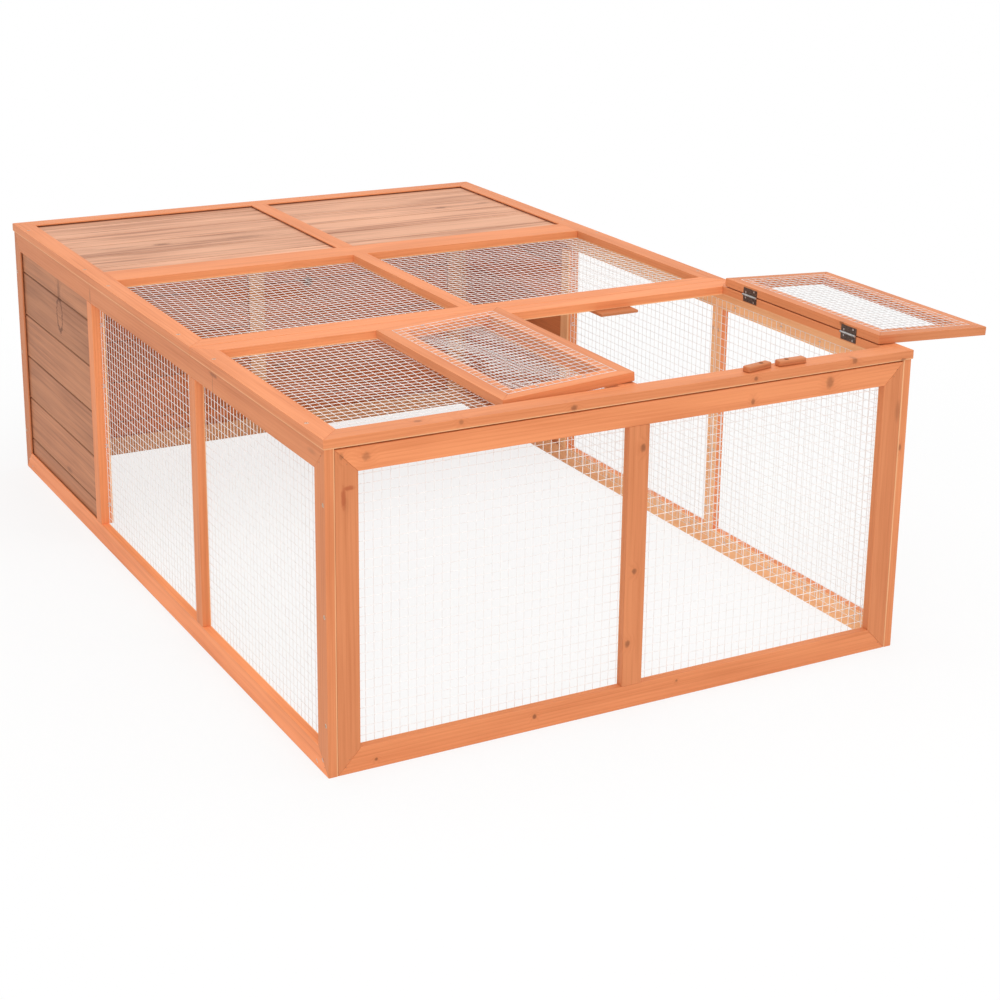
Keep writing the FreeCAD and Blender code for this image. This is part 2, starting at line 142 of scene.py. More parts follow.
# Screws
SCREW_SIDES = 16
FRAME_SCREW = {"head": 0.0035, "depth": 0.00175, "shank": 0.00175, "length": 0.012}
BUTTON_SCREW = {"head": 0.0034, "depth": 0.0022, "shank": 0.0018, "length": 0.010}
HINGE_SCREW = {"head": 0.0017, "depth": 0.0006, "shank": 0.0009, "length": 0.0024}
SCREW_PLAY = 0.0002
SCREW_TURN_STEP = 0.7
CROSS_LENGTH_SHARE = 1.15
CROSS_WIDTH_SHARE = 0.26
CROSS_DEPTH_SHARE = 0.5

# Hinges
HINGE_EASE = 0.00018
HINGE_SCREW_SPREAD = 0.0115
HINGE_SCREW_STAGGER = 0.0022
HINGE_LEAF = 0.001
HINGE_SCREW_PROUD = 0.0003
HINGE_SCREW_HEIGHT_SHARE = 0.42
HINGE_FLAT_ANGLE = math.radians(1)
HINGE_EDGE_ANGLE = math.radians(50)
# Reach of the painted highlight along the hinge barrels, from the pins
BARREL_REACH = 0.0019

# Turn buttons
BUTTON_CORNER = 0.0022
BUTTON_ROUND = 0.0018
BUTTON_LINE_SHARE = 0.52
BUTTON_LINE = 0.0007
BUTTON_RECESS_R = 0.0038
BUTTON_RECESS = 0.0035
BUTTON_RECESS_SIDES = 24
BUTTON_STEPS = 3
LEFT_BUTTON_TURN = math.radians(12)

# Camera, matched to the view of the cage from its front left corner
CAMERA_PLACE = Vector((-1.5165, -3.0871, 1.3452))
CAMERA_AIM = Vector((0.178, 0.0, 0.2922))
CAMERA_ROLL = math.radians(0.723)
CAMERA_LENS = 72.58
CAMERA_SENSOR = 36.0
CAMERA_SHIFT_Y = -0.12

# Colours, linear
TIMBER_PALE = (0.80, 0.285, 0.115)
TIMBER_DEEP = (0.55, 0.155, 0.048)
# Inner-face colours: paler, less-stained wood with painted bounce light from inside the cage
TIMBER_INSIDE_LIT = (0.97, 0.590, 0.310)
SIDE_BOARD_PALE = (0.585, 0.248, 0.122)
SIDE_BOARD_DEEP = (0.29, 0.106, 0.050)
SIDE_BOARD_INSIDE_LIT = (0.82, 0.280, 0.105)
ROOF_BOARD_PALE = (0.79, 0.415, 0.258)
ROOF_BOARD_DEEP = (0.40, 0.165, 0.088)
KNOT_DARK = (0.17, 0.055, 0.022)
RUN_RED = (0.40, 0.085, 0.026)
# Painted shade in the seams between boards
SEAM_SHADE_DARK = (0.10, 0.038, 0.020)
EDGE_PALE = (0.90, 0.46, 0.25)
ZINC = (0.80, 0.80, 0.79)
ZINC_DULL = (0.58, 0.58, 0.57)
WIRE_PALE = (0.97, 0.95, 0.93)
WIRE_DULL = (0.89, 0.86, 0.835)
# Door wire colours: the same galvanised wire painted darker, as painted shade
SHADED_DOOR_WIRE_PALE = (0.84, 0.83, 0.82)
SHADED_DOOR_WIRE_DULL = (0.66, 0.65, 0.64)
SCREW_PALE = (0.78, 0.58, 0.44)
SCREW_DULL = (0.55, 0.36, 0.25)
BRONZE = (0.060, 0.040, 0.034)
BRONZE_WORN = (0.17, 0.125, 0.10)
WHITE = (1.0, 1.0, 1.0)

# Figure of the wood, along, across and through a length: noises with scale, detail and roughness
FIGURE_NOISES = (
    ("Fibre", (7.0, 620.0, 620.0), 3.0, 0.5),
    ("Streak", (2.6, 85.0, 85.0), 4.0, 0.6),
    ("Stain", (4.0, 26.0, 26.0), 3.0, 0.5),
)
DRIFT_SCALE = (2.2, 14.0, 14.0)
DRIFT_REACH = (0.0, 0.014, 0.014)
PIN_SCALE = (4.2, 15.0, 15.0)
RUBBED_SCALE = (22.0, 160.0, 160.0)
KNOT_SCALE = (240.0, 240.0, 240.0)
KNOT_ROUGH = 0.7

# Where the heart of the tree lies from each length, drawn from the length's seed
SEED_SHIFT = (31.7, 11.3, 5.9)
ASIDE_DRAW = 7.13
DEPTH_DRAW = 3.71
SLOPE_DRAW = 5.37
HEART_ASIDE = 0.07
HEART_DEPTH = 0.05
HEART_LEAST_SHARE = 0.25
RING_SLOPE = 0.022

# Levels between which the masks rise or fall
LATE_RISE = (0.30, 0.88)
LATE_FALL = (0.90, 1.0)
PIN_SIZE = (0.03, 0.11)
PIN_RARITY = (0.45, 0.55)
KNOT_CORE = (0.35, 1.15)
KNOT_HALO = (0.6, 3.2)
KNOT_RIM = (0.05, 0.20)
RUBBED_PATCHES = (0.35, 0.7)
LONG_EDGE = (0.5, 1.3)
INNER_FACE = (0.6, 0.95)
FIBRE_LEVELS = (0.38, 0.72)
STREAK_LEVELS = (0.44, 0.70)
STAIN_LEVELS = (0.3, 0.75, -0.10, 0.22)
METAL_PATCHES = (0.3, 0.7)
METAL_GLOSS = (0.25, 0.75)

# How strongly each of them shows
# joint is the strength of the painted shade in the seams between boards
TIMBER_SHARES = {"ring_width": 0.0056, "late_wood": 0.15, "fibre": 0.20, "streak": 0.20,
                 "pin_knot": 0.35, "edge_reach": 0.0016, "rubbed": 0.10, "joint": 0.0}
BOARD_SHARES = {"ring_width": 0.0060, "late_wood": 0.16, "fibre": 0.22, "streak": 0.36,
                "pin_knot": 0.50, "edge_reach": 0.0017, "rubbed": 0.0, "joint": 0.36}
ROOF_SHARES = {**BOARD_SHARES, "streak": 0.75, "late_wood": 0.22}
LOOP_SHARE = 0.85
RUN_SHARE = 0.7
HALO_SHARE = 0.16
HALO_BEND = 1.2
# How far inner faces take the paler colour with painted bounce light, and how much grain shows through it
INNER_SHARE = 0.85
INNER_GRAIN_SHARE = 0.55
FIBRE_HEIGHT_SHARE = 0.6
# Strength of the painted highlight on the hinge barrels
BARREL_HIGHLIGHT_SHARE = 0.6
WOOD_SPECULAR = 0.26
GLOSS_RANGE = 0.18
WOOD_BUMP = {"Strength": 0.35, "Distance": 0.0002}
METAL_BUMP = {"Strength": 0.2, "Distance": 0.00008}

# Studio: each soft box has a name, a place, an aim, a size and a power
WORLD_STRENGTH = 0.74
SOFT_BOXES = (
    ("overhead", (0.2, -0.4, 3.2), (0.1, 0.0, 0.3), 3.0, 40.0),
    ("front", (-1.8, -4.0, 1.9), (0.0, 0.0, 0.3), 2.4, 46.0),
)
FLOOR_SIZE = 60
FLOOR_PAPER = (0.9, 0.9, 0.9)
FLOOR_FADE = (0.7, 1.9, 0.80, 1.0)

# Brightness of the timbers that differ from the rest, and how far single lengths stray from it. Part of
# that brightness is painted light and shade: lit roof tops, light on the left bottom rail and inside the
# right wall, and shade on the left top rail, the door stop ledges and the turn buttons
TIMBER_STRAY = (0.97, 1.03)
BOARD_STRAY = (0.90, 1.10)
TIMBER_TONES_AND_SHADE = {
    "front_top_rail": 1.06,
    "front_corner_stiles": 0.85,
    "front_centre_stile": 0.89,
    "front_bottom_rail": 1.02,
    "left_bottom_rail": 1.28,
    "left_board_stile": 1.12,
    "left_front_stile": 0.93,
    "left_rear_stile": 0.85,
    "left_top_rail": 0.93,
    "right_bottom_rail": 1.12,
    "right_middle_stile": 1.12,
    "right_top_rail": 1.06,
    "rear_roof_left_rail": 1.05,
    "rear_roof_middle_rail": 1.03,
    "rear_roof_front_rail": 1.06,
    "front_roof_rear_rail": 1.08,
    "front_roof_left_rail": 1.05,
    "front_roof_front_rail": 0.96,
    "door_stop_ledges": 0.70,
    "right_door_rails": 0.86,
    "right_door_stiles": 0.90,
    "left_door_rails": 1.02,
    "left_door_stiles": 0.92,
    "left_turn_button": 0.76,
    "right_turn_button": 0.76,
}

# Knots and marks in the timber: centre, half sizes, darkness
TIMBER_KNOTS = (
    ((-0.4363, -0.748, 0.4669), (0.0075, 0.02, 0.0075), 0.40),
    ((0.3412, -0.748, 0.4671), (0.0085, 0.02, 0.0110), 0.50),
    ((0.1989, -0.748, 0.4566), (0.0040, 0.02, 0.0060), 0.55),
    ((0.0070, -0.748, 0.4126), (0.0055, 0.02, 0.0072), 0.62),
    ((-0.0020, -0.748, 0.2212), (0.0046, 0.02, 0.0056), 0.66),
    ((-0.0096, -0.748, 0.1060), (0.0054, 0.02, 0.0066), 0.60),
    ((-0.4241, -0.748, 0.0135), (0.0030, 0.02, 0.0030), 0.70),
    ((-0.1674, -0.748, 0.0219), (0.0038, 0.02, 0.0046), 0.75),
    ((0.0812, -0.748, 0.0270), (0.0026, 0.02, 0.0026), 0.50),
    ((0.4875, -0.748, 0.3415), (0.0028, 0.02, 0.0065), 0.55),
    ((-0.4733, -0.748, 0.4724), (0.0040, 0.02, 0.0060), 0.40),
    ((-0.1132, -0.750, 0.4910), (0.0062, 0.02, 0.0050), 0.62),
    ((0.3855, -0.750, 0.4966), (0.0060, 0.02, 0.0060), 0.55),
    ((0.2010, -0.750, 0.4925), (0.0045, 0.02, 0.0040), 0.62),
    ((0.4802, -0.750, 0.4870), (0.0060, 0.02, 0.0024), 0.60),
    ((-0.2933, -0.750, 0.4957), (0.0050, 0.02, 0.0040), 0.40),
    ((-0.3510, -0.7315, 0.5000), (0.0080, 0.006, 0.0100), 0.45),
    ((-0.4980, -0.3363, 0.4796), (0.0100, 0.020, 0.0034), 0.55),
    ((-0.4980, -0.3320, 0.4650), (0.0100, 0.0010, 0.0300), 0.40),
    ((-0.4980, 0.2690, 0.4630), (0.0100, 0.0022, 0.0150), 0.50),
    ((0.4650, -0.6121, 0.5130), (0.0100, 0.008, 0.0042), 0.60),
    ((-0.1244, 0.2093, 0.5000), (0.0120, 0.006, 0.0100), 0.45),
)
STAIN_RUNS = (
    ((-0.4625, -0.748, 0.4255), (0.0100, 0.02, 0.0042)),
    ((-0.4705, -0.748, 0.4120), (0.0042, 0.02, 0.0200)),
)
BOARD_KNOTS = (
    ((0.3328, 0.5457, 0.495), (0.014, 0.0065, 0.01), 0.62),
    ((-0.2943, 0.4698, 0.495), (0.020, 0.0080, 0.01), 0.62),
    ((-0.3800, 0.4740, 0.495), (0.045, 0.0060, 0.01), 0.30),
    ((-0.1310, 0.4632, 0.495), (0.050, 0.0110, 0.01), 0.34),
    ((-0.4930, 0.4800, 0.4260), (0.01, 0.0090, 0.0220), 0.45),
    ((-0.4930, 0.4790, 0.4075), (0.01, 0.0100, 0.0040), 0.85),
    ((0.1166, 0.7380, 0.3193), (0.013, 0.01, 0.013), 0.75),
)
BOARD_LOOPS = (((-0.4930, 0.4810, 0.3780), (0.02, 0.0165, 0.031)),)


# Selecting and shaping

def select_only(piece):
    """Makes one piece the only selected and active one."""
    bpy.ops.object.select_all(action="DESELECT")
    piece.select_set(True)
    bpy.context.view_layer.objects.active = piece


def edit(piece):
    """Opens one piece for editing, with all of it selected."""
    select_only(piece)
    bpy.ops.object.mode_set(mode="EDIT")
    bpy.ops.mesh.select_all(action="SELECT")


def end_edit():
    bpy.ops.object.mode_set(mode="OBJECT")


def pick(piece, kind, test):
    """In edit mode, selects the faces or edges that pass a test, and nothing else."""
    bpy.ops.mesh.select_mode(type="FACE" if kind == "faces" else "EDGE")
    bpy.ops.mesh.select_all(action="DESELECT")
    shape = bmesh.from_edit_mesh(piece.data)
    shape.normal_update()
    for part in getattr(shape, kind):
        if test(part):
            part.select_set(True)
    bmesh.update_edit_mesh(piece.data)


def bevel(offset, steps=1):
    """In edit mode, bevels the selected edges."""
    bpy.ops.mesh.bevel(offset=offset, segments=steps, affect="EDGES")


def edge_run(edge):
    """The direction of an edge."""
    start, end = edge.verts
    return (end.co - start.co).normalized()


def placed(name):
    """The new primitive, named, with its place and size moved into its mesh."""
    piece = bpy.context.object
    piece.name = name
    bpy.ops.object.transform_apply(location=True, rotation=True, scale=True)
    return piece


def block(name, low, high):
    """A square block between two corners, ready to be shaped."""
    bpy.ops.object.select_all(action="DESELECT")
    bpy.ops.mesh.primitive_cube_add(size=1, location=(low + high) / 2, scale=high - low)
    return placed(name)


def rod(name, radius, length, sides, centre, turn=(0, 0, 0)):
    """A round bar, upright unless it is turned."""
    bpy.ops.object.select_all(action="DESELECT")
    bpy.ops.mesh.primitive_cylinder_add(
        vertices=sides, radius=radius, depth=length, location=centre, rotation=turn)
    return placed(name)


def apply_modifier(piece, kind, **settings):
    """Adds one modifier and applies it."""
    select_only(piece)
    modifier = piece.modifiers.new(kind, kind)
    for key, value in settings.items():
        setattr(modifier, key, value)
    bpy.ops.object.modifier_apply(modifier=modifier.name)


def cut(piece, cutter):
    """Takes one shape out of another."""
    apply_modifier(piece, "BOOLEAN", operation="DIFFERENCE", solver="EXACT", object=cutter)
    bpy.data.objects.remove(cutter)


def smooth(piece, angle=SMOOTH_ANGLE):
    """Smooth shading over edges up to an angle."""
    select_only(piece)
    bpy.ops.object.shade_smooth_by_angle(angle=angle)


def soften(piece):
    """Smooth shading over rounded edges, with the broad faces left flat."""
    smooth(piece)
    apply_modifier(piece, "WEIGHTED_NORMAL", keep_sharp=True)


def joined(name, parts):
    """Several shapes as one piece."""
    select_only(parts[0])
    for part in parts:
        part.select_set(True)
    if len(parts) > 1:
        bpy.ops.object.join()
    parts[0].name = name
    parts[0].data.name = name
    return parts[0]


def copies(name, model, places):
    """One modelled shape at each place, as one piece."""
    parts = []
    for place in places:
        part = model.copy()
        part.data = model.data.copy()
        part.data.transform(place)
        bpy.context.scene.collection.objects.link(part)
        parts.append(part)
    bpy.data.objects.remove(model)
    return joined(name, parts)


def standing(place, up, along):
    """Where a shape modelled upright at the origin goes, by its up and along directions."""
    side = up.cross(along)
    return Matrix.Translation(place) @ Matrix((along, side, up)).transposed().to_4x4()


def axis_vector(axis, length=1.0):
    """A vector along one axis."""
    vector = Vector((0, 0, 0))
    vector[axis] = length
    return vector


# Reading the frame

def corners(points):
    """Lowest and highest corner of some points."""
    low = Vector([min(p[axis] for p in points) for axis in range(3)])
    high = Vector([max(p[axis] for p in points) for axis in range(3)])
    return low, high


def by_length(low, high):
    """Axes of a box from its thinnest to its longest."""
    return sorted(range(3), key=lambda axis: round(high[axis] - low[axis], 5))


def solids(node, turn=Matrix.Identity(4)):
    """The points of each separate solid of a frame node, after a turn."""
    shape = bmesh.new()
    shape.from_mesh(frame["nodes"][node].data)
    bmesh.ops.remove_doubles(shape, verts=shape.verts, dist=MERGE)
    shape.transform(turn)
    left = set(shape.verts)
    found = []
    while left:
        open_verts = [left.pop()]
        points = []
        while open_verts:
            vert = open_verts.pop()
            points.append(vert.co.copy())
            near = {edge.other_vert(vert) for edge in vert.link_edges} & left
            left -= near
            open_verts += near
        found.append(points)
    shape.free()
    return sorted(found, key=lambda points: [round(x, 4) for x in corners(points)[0]])


def body_of(node):
    return frame["nodes"][node]["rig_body"]


def opening(body):
    """The turn that takes a closed door to its rest, or no turn for a body that isn't a door."""
    for joint in frame["joints"]:
        if joint["child"] == body and body.endswith("_door"):
            pivot = Matrix.Translation(Vector(joint["pos_m"]))
            angle = -math.radians(joint["range_deg"][1])
            return pivot @ Matrix.Rotation(angle, 4, Vector(joint["axis"])) @ pivot.inverted()
    return Matrix.Identity(4)


def joint_place(name):
    return next(Vector(joint["pos_m"]) for joint in frame["joints"] if joint["name"] == name)


def nodes_of(slot):
    """Names of the frame nodes that share a finish."""
    return [part["node"] for part in frame["record"]["subparts"] if part["material_slot"] == slot]


def screw_heads(node):
    """Centre of the head and outward direction of each screw of a node."""
    heads = []
    for points in solids(node):
        low, high = corners(points)
        axis = by_length(low, high)[2]
        ends = []
        for value, way in ((low[axis], -1), (high[axis], 1)):
            centre = (low + high) / 2
            centre[axis] = value
            rim = [(p - centre).length for p in points if abs(p[axis] - value) < NEAR]
            ends.append((max(rim), way, centre))
        _, way, centre = max(ends, key=lambda end: end[0])
        heads.append((centre, axis_vector(axis, way)))
    return heads


# Shader building blocks

def shader_node(tree, kind, inputs, **settings):
    """Adds a node, sets its options, and feeds its inputs with values or other outputs."""
    made = tree.nodes.new(kind)
    for key, value in settings.items():
        setattr(made, key, value)
    for socket, source in inputs.items():
        if isinstance(source, bpy.types.NodeSocket):
            tree.links.new(source, made.inputs[socket])
        else:
            made.inputs[socket].default_value = source
    return made


def use_group(tree, group, inputs):
    """Places a node group."""
    return shader_node(tree, "ShaderNodeGroup", inputs, node_tree=group).outputs


def attribute(tree, name, output="Fac"):
    """What is marked on the points of a piece."""
    return shader_node(tree, "ShaderNodeAttribute", {}, attribute_name=name).outputs[output]


def sums(tree, operation, first, second=0.0, clamp=False):
    """A number worked out from one or two others."""
    return shader_node(tree, "ShaderNodeMath", {0: first, 1: second},
                       operation=operation, use_clamp=clamp).outputs[0]


def times(tree, first, second):
    """Two numbers multiplied."""
    return sums(tree, "MULTIPLY", first, second)


def vectors(tree, operation, first, second):
    """A vector worked out from two others."""
    inputs = {0: first, 1: second}
    return shader_node(tree, "ShaderNodeVectorMath", inputs, operation=operation).outputs[0]


def vector_length(tree, vector):
    return shader_node(tree, "ShaderNodeVectorMath", {0: vector}, operation="LENGTH").outputs["Value"]


def parts_of(tree, vector):
    """The three numbers of a vector."""
    return shader_node(tree, "ShaderNodeSeparateXYZ", {0: vector}).outputs


def ramp(tree, value, low, high, start=0.0, end=1.0):
    """A soft step of a value between two levels."""
    inputs = {"Value": value, "From Min": low, "From Max": high, "To Min": start, "To Max": end}
    return shader_node(tree, "ShaderNodeMapRange", inputs, interpolation_type="SMOOTHSTEP").outputs[0]


def fall(tree, value, low, high):
    """A soft step down between two levels."""
    return ramp(tree, value, low, high, 1.0, 0.0)


def blend(tree, factor, first, second, kind="MIX"):
    """One colour laid over another."""
    def full(colour):
        return colour if isinstance(colour, bpy.types.NodeSocket) else (*colour, 1.0)
    return shader_node(tree, "ShaderNodeMix", {0: factor, 6: full(first), 7: full(second)},
                       data_type="RGBA", blend_type=kind).outputs[2]


def cloud(tree, vector, detail=2.0, roughness=0.5):
    """Soft noise from 0 to 1, with its colour output as three such noises."""
    inputs = {"Vector": vector, "Scale": 1.0, "Detail": detail, "Roughness": roughness}
    return shader_node(tree, "ShaderNodeTexNoise", inputs)


def new_group(name, inputs, outputs):
    """An empty node group that puts out numbers: the tree, what comes in and what goes out."""
    tree = bpy.data.node_groups.new(name, "ShaderNodeTree")
    for label, kind in inputs:
        tree.interface.new_socket(name=label, in_out="INPUT", socket_type="NodeSocket" + kind)
    for label in outputs:
        tree.interface.new_socket(name=label, in_out="OUTPUT", socket_type="NodeSocketFloat")
    return tree, tree.nodes.new("NodeGroupInput").outputs, tree.nodes.new("NodeGroupOutput").inputs


def figure_group():
    """Growth rings, fibre, streaks and small knots of one length of wood, from its own grain."""
    tree, given, out = new_group(
        "wood_figure",
        (("Grain", "Vector"), ("Seed", "Float"), ("Ring Width", "Float"), ("Bend", "Float")),
        ("Late Wood", "Fibre", "Streak", "Stain", "Pin Knot"))
    seed = given["Seed"]

    def chance(factor):
        return sums(tree, "FRACT", times(tree, seed, factor))

    shift = shader_node(tree, "ShaderNodeCombineXYZ", {
        axis: times(tree, seed, step) for axis, step in enumerate(SEED_SHIFT)}).outputs[0]

    def stretched(stretch):
        return vectors(tree, "ADD", vectors(tree, "MULTIPLY", given["Grain"], stretch), shift)

    drift = cloud(tree, stretched(DRIFT_SCALE)).outputs["Color"]
    drift = vectors(tree, "SUBTRACT", drift, (0.5, 0.5, 0.5))
    bent = vectors(tree, "ADD", given["Grain"], vectors(tree, "MULTIPLY", drift, DRIFT_REACH))
    along, across, depth = parts_of(tree, bent)
    aside = times(tree, sums(tree, "SUBTRACT", chance(ASIDE_DRAW), 0.5), HEART_ASIDE)
    below = times(tree, sums(tree, "ADD", chance(DEPTH_DRAW), HEART_LEAST_SHARE), HEART_DEPTH)
    squares = [sums(tree, "POWER", sums(tree, "ADD", place, heart), 2.0)
               for place, heart in ((across, aside), (depth, below))]
    radius = sums(tree, "SQRT", sums(tree, "ADD", *squares))
    slope = times(tree, sums(tree, "SUBTRACT", chance(SLOPE_DRAW), 0.5), RING_SLOPE)
    radius = sums(tree, "ADD", radius, times(tree, along, slope))
    rings = sums(tree, "DIVIDE", radius, given["Ring Width"])
    phase = sums(tree, "FRACT", sums(tree, "ADD", rings, given["Bend"]))
    late = times(tree, ramp(tree, phase, *LATE_RISE), fall(tree, phase, *LATE_FALL))

    inputs = {"Vector": stretched(PIN_SCALE), "Scale": 1.0}
    cells = shader_node(tree, "ShaderNodeTexVoronoi", inputs).outputs
    rare = parts_of(tree, cells["Color"])[0]
    pin = times(tree, fall(tree, cells["Distance"], *PIN_SIZE), ramp(tree, rare, *PIN_RARITY))

    tree.links.new(late, out["Late Wood"])
    tree.links.new(pin, out["Pin Knot"])
    for label, scale, detail, roughness in FIGURE_NOISES:
        tree.links.new(cloud(tree, stretched(scale), detail, roughness).outputs[0], out[label])
    return tree


def knot_group():
    """One knot: its dark core, a halo that bends the rings round it, and a thin line along its rim."""
    tree, given, out = new_group(
        "knot",
        (("Point", "Vector"), ("Centre", "Vector"), ("Half Size", "Vector")),
        ("Core", "Halo", "Rim"))
    away = vectors(tree, "SUBTRACT", given["Point"], given["Centre"])
    reach = vector_length(tree, vectors(tree, "DIVIDE", away, given["Half Size"]))
    rough = cloud(tree, vectors(tree, "MULTIPLY", given["Point"], KNOT_SCALE)).outputs[0]
    reach = sums(tree, "ADD", reach, times(tree, sums(tree, "SUBTRACT", rough, 0.5), KNOT_ROUGH))
    from_rim = sums(tree, "ABSOLUTE", sums(tree, "SUBTRACT", reach, 1.0))
    tree.links.new(fall(tree, reach, *KNOT_CORE), out["Core"])
    tree.links.new(fall(tree, reach, *KNOT_HALO), out["Halo"])
    tree.links.new(fall(tree, from_rim, *KNOT_RIM), out["Rim"])
    return tree


def edge_group():
    """Rubbed arrises, long edges that take painted shade in the board seams, and the inner face of a
    length of wood, which takes painted bounce light.
    """
    tree, given, out = new_group(
        "wood_edges",
        (("Grain", "Vector"), ("Stock", "Vector"), ("Reach", "Float")),
        ("Rubbed", "Long Edge", "Inside"))
    grain = parts_of(tree, given["Grain"])
    stock = parts_of(tree, given["Stock"])
    gaps = [sums(tree, "SUBTRACT", stock[axis], sums(tree, "ABSOLUTE", grain[axis + 1]))
            for axis in (0, 1)]
    patchy = cloud(tree, vectors(tree, "MULTIPLY", given["Grain"], RUBBED_SCALE), 3.0).outputs[0]
    gap = sums(tree, "DIVIDE", sums(tree, "MAXIMUM", *gaps), given["Reach"])
    near = sums(tree, "SUBTRACT", 1.0, gap, clamp=True)
    tree.links.new(times(tree, near, ramp(tree, patchy, *RUBBED_PATCHES)), out["Rubbed"])
    edge = sums(tree, "DIVIDE", gaps[0], given["Reach"])
    tree.links.new(fall(tree, edge, *LONG_EDGE), out["Long Edge"])
    inner = sums(tree, "DIVIDE", grain[2], stock[1])
    tree.links.new(ramp(tree, inner, *INNER_FACE), out["Inside"])
    return tree


FIGURE = figure_group()
KNOT = knot_group()
EDGES = edge_group()


# Finishes

def new_material(name):
    """A material with its shader: the node tree and the shader's inputs."""
    material = bpy.data.materials.new(name)
    material.use_nodes = True
    return material, material.node_tree, material.node_tree.nodes["Principled BSDF"].inputs


def stained_wood(name, colours, knots, loops, runs, shares, roughness):
    """Wood under a thin stain, with grain along each length, knots, rubbed arrises, painted shade in the
    board seams, and an inner face that is paler, partly from less stain and partly from painted bounce
    light.
    """
    material, tree, shader = new_material(name)
    pale, deep, inside = colours
    grain = attribute(tree, "grain", "Vector")
    stock = attribute(tree, "stock", "Vector")
    point = tree.nodes.new("ShaderNodeTexCoord").outputs["Object"]

    def knot_at(centre, half_size):
        return use_group(tree, KNOT, {"Point": point, "Centre": centre, "Half Size": half_size})

    core, halo, drip = 0.0, 0.0, 0.0
    for centre, half_size, darkness in knots:
        knot = knot_at(centre, half_size)
        core = sums(tree, "MAXIMUM", times(tree, knot["Core"], darkness), core)
        halo = sums(tree, "MAXIMUM", knot["Halo"], halo)
    for centre, half_size in loops:
        core = sums(tree, "MAXIMUM", times(tree, knot_at(centre, half_size)["Rim"], LOOP_SHARE), core)
    for centre, half_size in runs:
        drip = sums(tree, "MAXIMUM", knot_at(centre, half_size)["Core"], drip)
    figure = use_group(tree, FIGURE, {
        "Grain": grain, "Seed": parts_of(tree, stock)[2], "Ring Width": shares["ring_width"],
        "Bend": times(tree, halo, HALO_BEND)})
    core = sums(tree, "MAXIMUM", times(tree, figure["Pin Knot"], shares["pin_knot"]), core)
    edges = use_group(tree, EDGES, {"Grain": grain, "Stock": stock, "Reach": shares["edge_reach"]})
    # Inner faces of the fixed timbers and of the boards turn paler: partly less stain, partly painted
    # bounce light
    within = times(tree, edges["Inside"], attribute(tree, "lining"))

    late = times(tree, figure["Late Wood"], shares["late_wood"])
    fibre = times(tree, ramp(tree, figure["Fibre"], *FIBRE_LEVELS), shares["fibre"])
    streak = times(tree, ramp(tree, figure["Streak"], *STREAK_LEVELS), shares["streak"])
    stain = ramp(tree, figure["Stain"], *STAIN_LEVELS)
    lines = sums(tree, "ADD", late, fibre)
    depth = sums(tree, "ADD", lines, sums(tree, "ADD", streak, stain), clamp=True)
    colour = blend(tree, depth, pale, deep)
    inner = blend(tree, times(tree, depth, INNER_GRAIN_SHARE), inside, deep)
    colour = blend(tree, times(tree, within, INNER_SHARE), colour, inner)
    # Brightness of each length: its own tone, and on some timbers painted light and shade
    inputs = {"Value": attribute(tree, "tone"), "Color": colour}
    colour = shader_node(tree, "ShaderNodeHueSaturation", inputs).outputs[0]
    colour = blend(tree, times(tree, edges["Rubbed"], shares["rubbed"]), colour, EDGE_PALE)
    # Painted shade along the long outer edges of each board, in the seams between boards
    joint = times(tree, edges["Long Edge"], sums(tree, "SUBTRACT", 1.0, edges["Inside"]))
    colour = blend(tree, times(tree, joint, shares["joint"]), colour, SEAM_SHADE_DARK)
    colour = blend(tree, times(tree, halo, HALO_SHARE), colour, deep)
    colour = blend(tree, times(tree, drip, RUN_SHARE), colour, RUN_RED)
    tree.links.new(blend(tree, core, colour, KNOT_DARK), shader["Base Color"])

    shader["Specular IOR Level"].default_value = WOOD_SPECULAR
    gloss = times(tree, figure["Fibre"], GLOSS_RANGE)
    tree.links.new(sums(tree, "ADD", gloss, roughness), shader["Roughness"])
    height = sums(tree, "ADD", times(tree, figure["Fibre"], FIBRE_HEIGHT_SHARE), figure["Late Wood"])
    bump = shader_node(tree, "ShaderNodeBump", {"Height": height, **WOOD_BUMP})
    tree.links.new(bump.outputs[0], shader["Normal"])
    return material


def mottled_metal(name, bright, dull, scale, metallic, roughness):
    """Metal whose brightness and gloss vary in small patches, with a painted highlight in zinc colour
    where it is marked so.
    """
    material, tree, shader = new_material(name)
    point = tree.nodes.new("ShaderNodeTexCoord").outputs["Object"]
    patch = cloud(tree, vectors(tree, "MULTIPLY", point, (scale, scale, scale)), 3.0).outputs[0]
    colour = blend(tree, ramp(tree, patch, *METAL_PATCHES), bright, dull)
    # Where a piece is marked, zinc colour is painted in as a highlight
    tree.links.new(blend(tree, attribute(tree, "bare"), colour, ZINC), shader["Base Color"])
    shader["Metallic"].default_value = metallic
    gloss = ramp(tree, patch, *METAL_GLOSS, roughness, roughness + GLOSS_RANGE)
    tree.links.new(gloss, shader["Roughness"])
    bump = shader_node(tree, "ShaderNodeBump", {"Height": patch, **METAL_BUMP})
    tree.links.new(bump.outputs[0], shader["Normal"])
    return material


